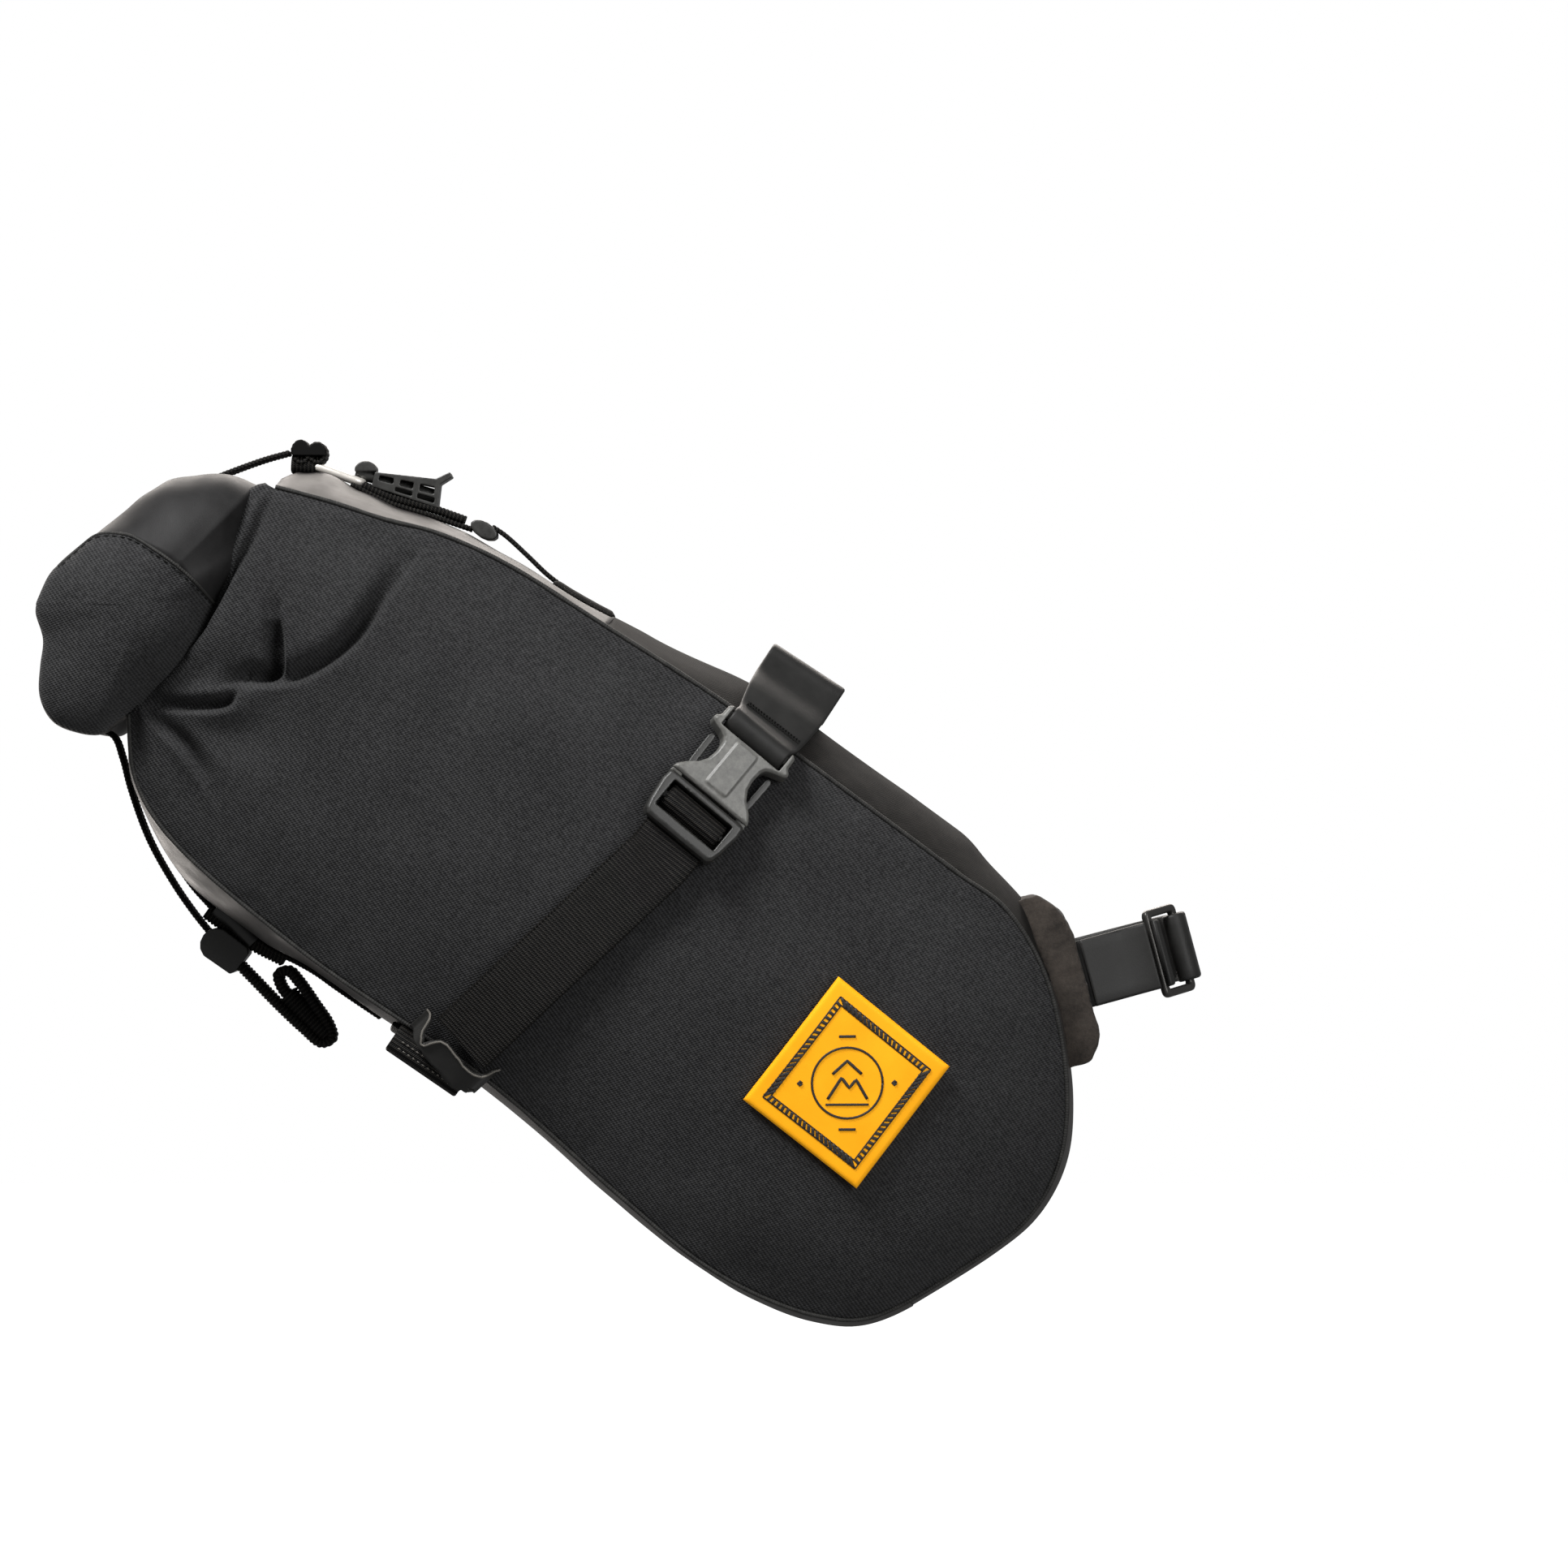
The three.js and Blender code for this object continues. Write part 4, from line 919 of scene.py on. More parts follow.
WEBBING_LOW = (-97, -103.5)  # where the webbing turns under the bag, in X and Z
WEBBING_RUN_TOP = 42  # down the buckle, where the run to the bottom edge starts
RUN_STEPS = 16
LOWER_LAYER = 0.9
UPPER_LAYER = 2.75


def webbing_run(lift):
    top = in_buckle(WEBBING_RUN_TOP, 0, 0)
    xs = np.linspace(top[0], WEBBING_LOW[0], RUN_STEPS)
    zs = np.linspace(top[2], WEBBING_LOW[1], RUN_STEPS)
    points = np.array([on_side(x, z, lift, 7) for x, z in zip(xs, zs)])
    points[1:-1] = (points[:-2] + 2 * points[1:-1] + points[2:]) / 4
    return points


def side_webbing(side, place):
    """Up from the bottom edge, through the plug's two slots, and back down over itself."""
    through = [(35.5, LOWER_LAYER), (28.6, LOWER_LAYER), (24.9, LOWER_LAYER + 0.1), (23.6, 3.4),
               (23.9, 5.4), (25.4, 6.35), (28, 6.35), (29.3, 5.2), (30, 3.8),
               (31.6, UPPER_LAYER + 0.2), (35.5, UPPER_LAYER)]
    inside = np.array([in_buckle(l, 0, n) for l, n in through])
    path = np.vstack([webbing_run(1 + LOWER_LAYER)[::-1], inside, webbing_run(1 + UPPER_LAYER)])
    across = unit(np.cross(OUT, unit(path[0] - in_buckle(35.2, 0, 0))))
    from_plug = np.linalg.norm(path - in_buckle(27, 0, 3), axis=1)
    share = np.clip(from_plug / 25, 0, 1)[:, None]
    wide = unit(FORWARD * (1 - share) + across * share)
    obj = strap(f"side_strap_{side}", place(path), place(wide), WEBBING, WEBBING_THICK, RIBBED)
    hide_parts(f"side_webbing_{side}")
    place(path[3]) * MM
    place(in_buckle(36, 0, 2)) * MM
    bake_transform(obj)


# ---- Keeper over the webbing, and the webbing's hemmed end below it ----

KEEPER_UP = -unit(np.array([-0.738, 0, -0.674]))
KEEPER_ACROSS = unit(np.array([0.674, 0, -0.738]))
KEEPER_AT = level([WEBBING_LOW])[0]
KEEPER_LOW = -8.6
KEEPER_ROWS = 12
KEEPER_HEIGHT = 18  # of its cloth, for its UVs
KEEPER_SECTION = [  # forward, and out from the cloth
    (-13.8, 1.1), (-12.2, 1.4), (-11.2, 3.8), (-9.4, 5.8), (-4, 6.7), (2, 6.9), (8, 6.6),
    (11, 5.4), (12.3, 3), (13.4, 1.2),
]
KEEPER_TOP = [  # forward, and up the webbing
    (-13.8, -1.6), (-11.4, -1.8), (-10.4, -4.6), (-8, -7.2), (-6.8, -6.6), (-5.7, -3.8),
    (-4.5, -2.2), (-2.5, -1.4), (0.8, -1.5), (4.7, -2), (8.4, -1.6), (11, -0.8), (12, 0.2),
    (12.5, 1.4), (13.4, 2.2),
]


def keeper_point(s, r, lift):
    """s forward and r up the webbing from where it turns under the bag."""
    x, _, z = KEEPER_AT + KEEPER_ACROSS * s + KEEPER_UP * r
    return on_side(x, z, lift, 6)


def keeper(side, place):
    """A loop of coated fabric over both layers of the webbing, with its cut upper edge showing."""
    line = level_spline(KEEPER_SECTION, 12)
    rows = []
    for t in np.linspace(0, 1, KEEPER_ROWS):
        row = []
        for s, n in line:
            top = np.interp(s, *np.array(KEEPER_TOP).T)
            flare = 0.8 * (1 - t) ** 3 * max(0.0, n - 1.2) / 5
            row.append(keeper_point(s, top + (KEEPER_LOW - top) * t, n + flare))
        rows.append(row)
    points = place(np.array(rows))
    uvs = paired(np.linspace(0, KEEPER_HEIGHT, KEEPER_ROWS)[:, None], lengths(line))
    obj = sheet_object(f"keeper_loop_{side}", points, uvs, STRAP, 1.0)
    on_body(obj, "bag", f"webbing_keeper_{side}")
    settled(obj)
    on_body(tube(f"keeper_edge_{side}", points[0], 0.34, CUT_EDGE, 7), "bag")


BAND_AT = 0.806
BAND_REACH = 0.93
BAND_POINTS = 26
BAND_LIFT = 1.5
HEM_AT = 0.799  # the folded end hangs a little forward of the band
HEM_FOLDS = [  # outward from the side, and out from the seam
    (-3.0, 1.4), (0.6, 2.0), (2.4, 4.6), (2.2, 8.0), (0.8, 8.9), (-0.4, 7.4), (-0.6, 4.2),
]


def seam_direction(p):
    return unit(seam(p + 0.002) - seam(p - 0.002))[0]


def under_webbing():
    """The band of webbing that joins both sides under the bag."""
    path = gusset_point(BAND_AT, np.linspace(-BAND_REACH, BAND_REACH, BAND_POINTS), BAND_LIFT)
    obj = strap("under_band", path, seam_direction(BAND_AT), WEBBING, WEBBING_THICK, RIBBED)
    on_body(obj, "bag", "under_webbing")


def webbing_end(side, place):
    """The folded end of the webbing, hanging at the bottom edge and sewn through."""
    across = seam_direction(HEM_AT)
    out = away(HEM_AT)[0]
    base = gusset_point(HEM_AT, np.array([-1.0]))[0]
    path = [base + RIGHT * a + out * b for a, b in HEM_FOLDS]
    obj = strap(f"hemmed_end_{side}", place(path), across, WEBBING + 4.6, 1.5, RIBBED)
    on_body(obj, "bag", f"webbing_end_{side}")
    for k, (a, b) in enumerate(((3.35, 5.0), (3.15, 7.2))):
        line = base + RIGHT * a + out * b + across * np.linspace(-11, 11, 20)[:, None]
        row = stitch_line(f"hem_stitches_{k + 1}_{side}", place(line), place(RIGHT), CUT_EDGE,
                          1.1, 0.6, 0.25)
        on_body(row, "bag")


# ---- Rail straps ----

RAIL_ALONG = unit(np.array([0.84, 0, -0.55]))
RAIL_UP = unit(np.array([0.55, 0, 0.84]))
RAIL_HALF_SPACING = 22
RAIL_RADIUS = 3.5
RAIL_STRAP_WIDTH = 25
BUCKLE_STRAP_WIDTH = 20.4
BAR_AT = -3.5
BAR_HEIGHT = 4
BAR_RADIUS = 2.3
COATED_STRAP = 1.8
ZIGZAG_AT = 7.2  # along the strap, counted in the points of its path
ZIGZAG_STITCHES = 20
ZIGZAG_HALF = 9.4


def in_rail(out, up):
    return RIGHT * (RAIL_HALF_SPACING + out) + RAIL_UP * up


def rail_strap(side, place):
    """Round the buckle's bar, up over the saddle's rail, and down to its foot on the bag."""
    half = COATED_STRAP / 2
    bar = round_points(in_buckle(BAR_AT, 0, BAR_HEIGHT), BAR_RADIUS + half,
                       np.radians(np.arange(-120, 121, 40)), DOWN, OUT)
    shoulders = [in_rail(27.5, -16), in_rail(19, -8.6), in_rail(9.5, -3.2)]
    over = round_points(in_rail(0, 0), RAIL_RADIUS + 0.5 + half,
                        np.radians(np.arange(20, 161, 35)), RIGHT, RAIL_UP)
    foot = [in_rail(-5.6, -2), in_rail(-8, -5), in_rail(-11.5, -6.1), in_rail(-18, -5.9)]
    path = np.vstack([bar, shoulders, over, foot])
    run = lengths(path)
    share = smoothstep(run / run[-1], 0.15, 0.5)[:, None]
    wide = unit(FORWARD * (1 - share) + RAIL_ALONG * share)
    widths = BUCKLE_STRAP_WIDTH + (RAIL_STRAP_WIDTH - BUCKLE_STRAP_WIDTH) * share[:, 0]
    obj = strap(f"rail_loop_{side}", place(path), place(wide), RAIL_STRAP_WIDTH, COATED_STRAP,
                STRAP, widths=widths, step=0.7)
    on_body(obj, "bag", f"rail_strap_{side}")
    rail_zigzags(side, place, path, wide)


def rail_zigzags(side, place, path, wide):
    """Two zigzags of thread that cross, over the sewn end of the rail strap."""
    k = int(ZIGZAG_AT)
    out = unit(np.cross(wide[k], path[k + 1] - path[k - 1]))
    out = out if out[1] < 0 else -out
    up = unit(path[k + 1] - path[k])
    middle = spline(path)[int(ZIGZAG_AT * CURVE_STEPS)] + out * (COATED_STRAP / 2 + 0.12)
    line = middle + wide[k] * np.linspace(-ZIGZAG_HALF, ZIGZAG_HALF, ZIGZAG_STITCHES)[:, None]
    for row, phase in ((1, 1), (2, -1)):
        zigzag = line + up * (phase * (-1) ** np.arange(ZIGZAG_STITCHES))[:, None]
        on_body(stitches(f"rail_stitches_{row}_{side}", place(zigzag[:-1]), place(zigzag[1:]),
                         place(out), THREAD, 0.3), "bag")


buckle("right")
buckle("left")
both_sides(side_webbing)
both_sides(keeper)
under_webbing()
both_sides(webbing_end)
both_sides(rail_strap)


# ---- Nose pad, post straps and ring, in a frame that leans with the seatpost ----

POST_LEAN = math.radians(-15)
POST_AT = np.array([94.3, 0, -82.2])
POST_X = np.array([math.cos(POST_LEAN), 0, -math.sin(POST_LEAN)])
POST_Z = np.array([math.sin(POST_LEAN), 0, math.cos(POST_LEAN)])
POST_RADIUS = 15.8
POST_STRAP_WIDTH = 20
STRAP_ROUND_POST = POST_RADIUS + 0.6 + COATED_STRAP / 2
RING_WIRE = 1.2
RING_ROUND = STRAP_ROUND_POST + COATED_STRAP / 2 + 0.4 + RING_WIRE
TURN_RADIUS = RING_WIRE + 0.4 + COATED_STRAP / 2  # of the strap round a bar of the ring
REAR_BAR = -58  # the ring's bars, in degrees round the post
FRONT_BAR = -22
BAR_POINTS = 8
PAD_BACK = 2.4  # how far the pad's back is pressed into the bag's nose


def by_post(points):
    """Points given forward, across and up the post, from its middle."""
    points = np.asarray(points, float)
    return POST_AT + points[:, :1] * POST_X + points[:, 1:2] * LEFT + points[:, 2:] * POST_Z


def nose_pad():
    """A felted foam block: its CAD shape rounded, swollen a little and roughened."""
    obj = moulded("felt_pad", "nose_pad", FOAM, 0.8, 5)
    work = bmesh.new()
    work.from_mesh(obj.data)
    for vert in work.verts:
        place = vert.co / MM
        lump = 0.5 * noise.noise(place / 9) + 0.28 * noise.noise(place / 3)
        vert.co += vert.normal * (lump - 0.1) * MM
        forward = (np.array(place) - POST_AT).dot(POST_X)
        vert.co -= Vector(POST_X) * PAD_BACK * float(smoothstep(-forward, 13, 18)) * MM
    work.to_mesh(obj.data)
    work.free()
    on_body(obj, "bag", "nose_pad")


def round_post(radius, degrees):
    turn = math.radians(degrees)
    return [radius * math.cos(turn), radius * math.sin(turn), 0]


def around_bar(degrees, start, stop):
    """A turn of strap round a bar of the ring, from inside the bar to outside it."""
    turns = np.radians(np.linspace(start, stop, BAR_POINTS))
    return round_points(round_post(RING_ROUND, degrees), TURN_RADIUS, turns, FORE, LEFT)


def post_band(name, node, body, path):
    obj = strap(name, by_post(path), POST_Z, POST_STRAP_WIDTH, COATED_STRAP, STRAP, step=0.6)
    on_body(obj, body, node)


def post_straps():
    """Both straps from the pad to the ring, the joined ends beside the post, and the ring."""
    r = STRAP_ROUND_POST
    post_band("post_band_right", "post_strap_right", "bag",
              [[-18.5, -21.6, 0], [-12, -21.6, 0], [-2, -19.6, 0],
               round_post(r + 0.2, REAR_BAR - 14), *around_bar(REAR_BAR, REAR_BAR + 180, REAR_BAR)])
    post_band("post_band_left", "post_strap_left", "bag",
              [[-18.5, 21.6, 0], [-12, 21.6, 0], [-2, 19.6, 0],
               *[round_post(r, turn) for turn in (64, 48, 32, 16, 2, -11)],
               *around_bar(FRONT_BAR, FRONT_BAR - 180, FRONT_BAR + 10),
               round_post(r + 4.2, -8), round_post(r + 2.5, 8), round_post(r + 2.4, 20)])
    post_band("post_band_end", "post_strap_end", "post_strap_end",
              [round_post(RING_ROUND + TURN_RADIUS + 0.1, REAR_BAR - 7),
               round_post(r + 4, REAR_BAR - 14), [2, -20.9, 0], [-2, -22.1, 0], [-10.4, -23.9, 0]])
    cast("wire_ring", "post_ring", "bag", BLACK_STEEL, 0.25, 6)


nose_pad()
post_straps()


# ---- Closure: top ladder and hook, the strap over the roll, the ladder-lock and the tail ----

BAND = 1.3  # the thickness of the closure's webbing


def band(name, body, thick, path, node=None, width=CLOSURE_WEBBING, material=RIBBED):
    """A strap or bar square to the bag's middle plane, along a path of X and Z on it."""
    on_body(strap(name, level(path), LEFT, width, thick, material), body, node)


def over_gusset(places):
    """X and Z over the middle of the gusset, from places along the seam and heights."""
    return np.vstack([gusset_point(np.array([p]), 0, lift)[:, [0, 2]] for p, lift in places])


def over_roll():
    """The closure strap, from the slider over the roll and down to the ladder-lock."""
    band("closure_band", "closure", BAND, [
        (-149.8, 67.8), (-157, 65.8), (-166, 62.6), (-176, 58.6), (-184, 55), (-196.3, 47.4),
        (-207.5, 38.9), (-215, 30.3), (-218.7, 18.5), (-217.8, 5), (-214.4, -7), (-207.4, -12.8),
        (-201.6, -15.6), (-199, -22), (-196.6, -31), (-191.2, -45.8), (-184, -58.8),
        (-178, -67.5), (-172.8, -74)], "closure_strap")


def hook_slider():
    """The strap's adjuster: two loops of webbing over bars that sit on a base."""
    turns = np.radians(np.linspace(-150, 190, 22))
    for k, (x, z, high) in enumerate(((-141.6, 67.6, 2.7), (-146.4, 67.9, 3.0))):
        loop = round_points((x, z), 1, turns, np.array([2.3, 0]), np.array([0, high]))
        band(f"slider_loop_{k + 1}", "closure", 1.2, loop, width=CLOSURE_WEBBING + 1)
    band("slider_base", "closure", 5.2, [(-149.2, 64.6), (-145, 64.3), (-140.2, 63.9)])
    cast("slider_bars", "hook_slider", "closure", RIBBED, 0.3, 4)


HOOK_FOOT = np.array([-143.6, 0, 64.3])
HOOK_SLOPE = math.radians(-19.5)
HOOK_LENGTH = 17
HOOK_CORNER = 2
HOOK_INSET = 1  # from the frame's outside to the middle of its wire
HOOK_RADIUS = 1.25


def wire_hook():
    """The steel wire frame that runs from the slider to the ladder."""
    down = FORE * math.cos(HOOK_SLOPE) + UP * math.sin(HOOK_SLOPE)
    reach = HOOK_LENGTH / 2 - HOOK_CORNER - HOOK_INSET
    half = CLOSURE_WEBBING / 2 - HOOK_CORNER - HOOK_INSET
    middle = HOOK_FOOT + down * HOOK_LENGTH / 2
    corners = []
    for end, side, start in ((1, 1, 0), (-1, 1, 90), (-1, -1, 180), (1, -1, 270)):
        corner = middle + down * end * reach + LEFT * side * half
        turns = np.radians(np.arange(start, start + 91, 15))
        corners.append(round_points(corner, HOOK_CORNER, turns, down, LEFT))
    obj = tube("wire_hook", np.vstack(corners), HOOK_RADIUS, STEEL, 16, closed=True)
    on_body(obj, "closure", "closure_hook")


def hook_pull():
    cast("hook_pull", "hook_grip", "closure", PLASTIC, 0.3, 6)
    band("pull_stem", "closure", 3.4, [(-130.4, 62), (-127.4, 61.2), (-124.4, 60.2)],
         width=CLOSURE_WEBBING - 6, material=PLASTIC)


def top_ladder():
    """The ladder that the hook catches, its strap, and the slider and strap in front of it."""
    cast("ladder_loops", "ladder", "bag", PLASTIC, 0.22, 3)
    band("ladder_core", "bag", 4.4, [(-124.8, 59.3), (-115, 57), (-106.2, 54.6)],
         width=CLOSURE_WEBBING - 4, material=PLASTIC)
    band("ladder_band", "bag", 1.4,
         over_gusset([(0.029, 0.6), (0.047, 0.7), (0.065, 0.8), (0.083, 1.5)]), "ladder_strap")
    band("ladder_hem", "bag", 2.2,
         over_gusset([(0.034, 2.1), (0.047, 2.3), (0.065, 2.9), (0.079, 3.2)]))
    cast("slider_moulded", "top_slider", "bag", PLASTIC)
    band("top_band", "bag", BAND, [(-90.2, 46), (-86.6, 43.6), (-80, 37.6), (-74.6, 32.4),
                                   (-70.2, 28.9), (-64.5, 24.6)], "top_strap")


def bottom_lock():
    """The ladder-lock and the folded webbing that holds it to the bottom gusset."""
    cast("ladder_lock_moulded", "ladder_lock", "bag", DARK_PLASTIC)
    band("bottom_band", "bag", BAND,
         over_gusset([(0.827, 0.8), (0.84, 0.8), (0.85, 0.8), (0.86, 0.8), (0.87, 0.8),
                      (0.88, 0.9), (0.893, 1.2), (0.905, 2.1)]), "bottom_anchor")
    band("anchor_fold", "bag", 3.8,
         over_gusset([(0.874, 1.7), (0.888, 2.2), (0.9, 2.7), (0.912, 2.9)]))
    band("lock_block", "bag", 6.6, [(-170.6, -65.4), (-165.4, -70.4), (-160, -76)],
         width=CLOSURE_WEBBING + 4, material=DARK_PLASTIC)
    band("anchor_upper", "bag", 1.2,
         [(-187.6, -44), (-183.2, -52.4), (-178.6, -59.4), (-172.4, -66.4)])


def closure_tail():
    """The strap's free end, folded back on itself."""
    band("tail_band", "tail", 2.8, [
        (-167.6, -79.6), (-160, -87.4), (-153, -94.6), (-146, -101.2), (-140.4, -105.6),
        (-137.6, -104.4), (-138.4, -100.6), (-142.6, -94.2), (-147.4, -87.4), (-150.2, -84.6),
        (-153, -85.4), (-152.4, -88.8), (-148.6, -93.8), (-142.6, -100.4)], "closure_tail")
    band("tail_fold", "tail", 5.6, [(-150.6, -91.4), (-144.8, -97.4), (-138.8, -103.4)])


over_roll()
hook_slider()
wire_hook()
hook_pull()
top_ladder()
bottom_lock()
closure_tail()


# ---- Rolled mouth ----

ROLL_MIDDLE = np.array([-190.0, 22.0])
ROLL_INSIDE = level([ROLL_MIDDLE])[0]
ROLL_HALF_WIDTH = 67
ROLL_OUTLINE = [
    (-157, 57.2), (-166, 60.6), (-181.9, 58.9), (-188, 55.5), (-195.8, 49.1), (-203.5, 43.1),
    (-209.5, 38), (-216, 32.2), (-219.8, 25), (-221, 20.4), (-218.8, 12.5), (-219.6, 4.7),
    (-219.7, -4), (-216.2, -11.3), (-210.1, -14.4), (-202.9, -15.3), (-197, -11), (-190, -7),
    (-181, -1), (-172.5, 8), (-167.5, 20), (-162.5, 32), (-159.5, 45),
]
CLOSURE_VALLEY = 0.885  # the closure strap presses the roll's middle in to this share
VALLEY_HALF = 8
VALLEY_EDGE = 30
SHOULDER = 52
SHOULDER_STEP = 17  # how much nearer the middle it comes at the top and in front
DOME_POWER = 2 / 2.2
ROLL_CLOTH_THICK = 1.0

# Where the smooth cloth of the roll's top meets the textured cloth of its ends, in X and Z.
END_SEAM = [(-214, 33), (-209.5, 38.2), (-202.3, 42.4), (-193.5, 41.9), (-184.7, 36.9),
            (-176.2, 30.2), (-169.6, 22.6), (-166.5, 17)]
STEEPEST_SEAM = math.radians(84)
END_ROWS = 54
EDGE_ROWS = 26
MIDDLE_ROWS = 72


def polar(line):
    """Points in X and Z as angles round the roll's middle and distances from it."""
    offset = line - ROLL_MIDDLE
    return np.arctan2(offset[:, 1], offset[:, 0]), np.hypot(offset[:, 0], offset[:, 1])


def roll_radius(turn):
    """The roll's outline as distances from its middle, by angle."""
    angle, far = polar(level_spline([*ROLL_OUTLINE, ROLL_OUTLINE[0]], 12))
    angle = np.unwrap(angle)
    order = np.argsort(angle)
    angle = angle[order]
    return np.interp(turn, np.concatenate([angle - 2 * math.pi, angle, angle + 2 * math.pi]),
                     np.tile(far[order], 3))


def shoulder(turn):
    """Where the roll's end starts to round over, as a distance from its middle plane."""
    degrees = np.degrees(turn)
    top = smoothstep(degrees, 5, 45) * (1 - smoothstep(degrees, 80, 135))
    front = smoothstep(degrees, -115, -85) * (1 - smoothstep(degrees, 5, 30))
    return SHOULDER - SHOULDER_STEP * (top + front)


def roll_surface(turn, y, share=1.0):
    """Points on the roll at a share of its radius, and how far its cloth puffs out there."""
    dip = 1 - smoothstep(np.abs(y), VALLEY_HALF, VALLEY_EDGE)
    share = share * (1 - (1 - CLOSURE_VALLEY) * dip)
    far = roll_radius(turn) * share
    points = np.stack([ROLL_MIDDLE[0] + far * np.cos(turn), y,
                       ROLL_MIDDLE[1] + far * np.sin(turn)], axis=-1)
    place = points * (1, 0.7, 1)
    puff = 1.3 * noise_at(place, 24, 41) + 0.5 * noise_at(place, 9, 42)
    puff *= smoothstep(share, 0.02, 0.5) * (1 - 0.85 * dip)
    return points, puff * (0.35 + 0.65 * smoothstep(np.degrees(turn), 40, 60))


def roll_dome(turn, phi):
    """The roll's right end: phi runs from its middle to its shoulder."""
    start = shoulder(turn)
    y = -(start + (ROLL_HALF_WIDTH - start) * np.cos(phi) ** DOME_POWER)
    return roll_surface(turn, y, np.sin(phi) ** DOME_POWER)


def puffed(points, puff):
    return points - grid_normals(points) * puff[..., None]


def end_seam(turn):
    """How far out the seam of the roll's end runs: as a share of its radius and as phi."""
    angle, far = polar(level_spline(END_SEAM))
    share = np.interp(turn, angle[::-1], (far / roll_radius(angle))[::-1], left=1, right=1)
    phi = np.arcsin(np.clip(share ** (1 / DOME_POWER), 0, 1))
    return share, np.minimum(phi, STEEPEST_SEAM)


def rolled_mouth():
    """Smooth cloth round the roll's middle, and textured cloth over both its ends."""
    turn = np.radians(np.linspace(-180, 180, 361))
    seam_share, seam_phi = end_seam(turn)
    end_cloth = puffed(*roll_dome(turn, np.linspace(0.02, 1, END_ROWS)[:, None] * seam_phi))
    rest = np.linspace(0, 1, EDGE_ROWS)[:, None]
    edge, edge_puff = roll_dome(turn, seam_phi + (math.pi / 2 - seam_phi) * rest)
    across = np.linspace(-1, 1, MIDDLE_ROWS + 2)[1:-1, None]
    flat, flat_puff = roll_surface(turn, shoulder(turn) * across)
    middle = puffed(np.concatenate([edge, flat, mirrored(edge[::-1])]),
                    np.concatenate([edge_puff, flat_puff, edge_puff[::-1]]))
    middle[0], middle[-1] = end_cloth[-1], mirrored(end_cloth[-1])
    middle[:, -1], end_cloth[:, -1] = middle[:, 0], end_cloth[:, 0]
    uvs = paired(lengths(middle[len(middle) // 2]), middle[..., 1])
    body = sheet_object("roll_cloth", middle, uvs, SHADED_ROLL_CLOTH, ROLL_CLOTH_THICK, ROLL_INSIDE)
    on_body(body, "roll", "rolled_mouth")
    pole = np.repeat(end_cloth[:1].mean(axis=1, keepdims=True), end_cloth.shape[1], axis=1)
    end_cloth = np.concatenate([pole, end_cloth])
    visible = seam_share < 0.995
    both_sides(lambda side, place: roll_end(side, place, end_cloth, visible))


def roll_end(side, place, cloth, visible):
    """The cloth over one end of the roll, and the ridge and stitches where it is sewn on."""
    obj = sheet_object(f"roll_end_{side}", place(cloth), cloth[..., [0, 2]], WOVEN,
                       ROLL_CLOTH_THICK, ROLL_INSIDE)
    weld = obj.modifiers.new("weld", "WELD")
    weld.merge_threshold = 0.05 * MM
    on_body(obj, "roll")
    rim, below = cloth[-1][visible], cloth[-4][visible]
    on_body(tube(f"roll_seam_{side}", place(rim + unit(rim - below) * 0.2), 0.55, BINDING, 7),
            "roll")
    row = stitch_line(f"roll_stitches_{side}", place(below + RIGHT * 0.35), place(RIGHT), THREAD,
                      1.9, 0.8, 0.2)
    on_body(row, "roll")


THROAT_ROWS = [  # rearward from the mouth, half its height, half its width
    (-9, 39, 47.2), (-5, 38.6, 46.8), (-1, 37.6, 46), (3, 36, 45), (7, 33.5, 44),
    (11, 29.5, 42.5), (15, 25, 41), (19, 21, 40),
]
THROAT_FOLD = 0.9
THROAT_FOLDS = 22
THROAT_SQUARENESS = 0.35


def throat():
    """The bag's mouth between the panels and the roll, gathered flat in the crease."""
    top, bottom = seam(0.0)[0], seam(1.0)[0]
    middle = (top + bottom) / 2
    up = unit(top - bottom)
    turn = np.linspace(0, 2 * math.pi, 121)
    c, d = np.cos(turn)[:, None], np.sin(turn)[:, None]
    fold = THROAT_FOLD * np.sin(turn * THROAT_FOLDS + 2) * (0.4 + 0.6 * np.sin(turn * 3) ** 2)
    fold = fold[:, None]
    rows = []
    for s, high, wide in THROAT_ROWS:
        across = wide * np.sign(c) * np.abs(c) ** THROAT_SQUARENESS + fold * c
        rise = high * np.sign(d) * np.abs(d) ** THROAT_SQUARENESS + fold * d
        rows.append(middle + REARWARD * s + up * rise + LEFT * across)
    points = np.array(rows)
    uvs = paired(np.linspace(0, 28, len(rows))[:, None], lengths(points[0]))
    obj = sheet_object("throat_cloth", points, uvs, SHADED_ROLL_CLOTH, 0.8, middle)
    settled(obj)
    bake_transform(obj)


def stiffeners():
    """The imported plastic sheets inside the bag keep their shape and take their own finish."""
    for node in ("bottom_stiffener", "mouth_stiffener"):
        for place in NODES[node].material_slots:
            place.material = SHEET


rolled_mouth()
throat()
stiffeners()


# ---- Badge ----

BADGE_CORNERS = np.array([(11, -85.2), (43.1, -111.2), (16.3, -146.3), (-16.3, -120.5)])
BADGE_MIDDLE = BADGE_CORNERS.mean(axis=0)
BADGE_THICK = 1.8
BADGE_GAP = 0.3  # under it
BADGE_HALF = 20.6
BADGE_CLOTH = 20  # half its size in its UVs
BADGE_CELLS = 60
BADGE_EDGE = 0.7  # how far its edge is rounded down, and over what width
BADGE_EDGE_WIDTH = 1.1
BORDER_OUTSIDE = 0.81  # shares of the badge's size
BORDER_INSIDE = 0.73
HATCH_LEAN = 0.04
HATCHES = 20  # on each side of the border
INK_LIFT = 2.2
INK_THICK = 0.5


def on_badge(place, lift):
    return on_side(*place, lift, 8)


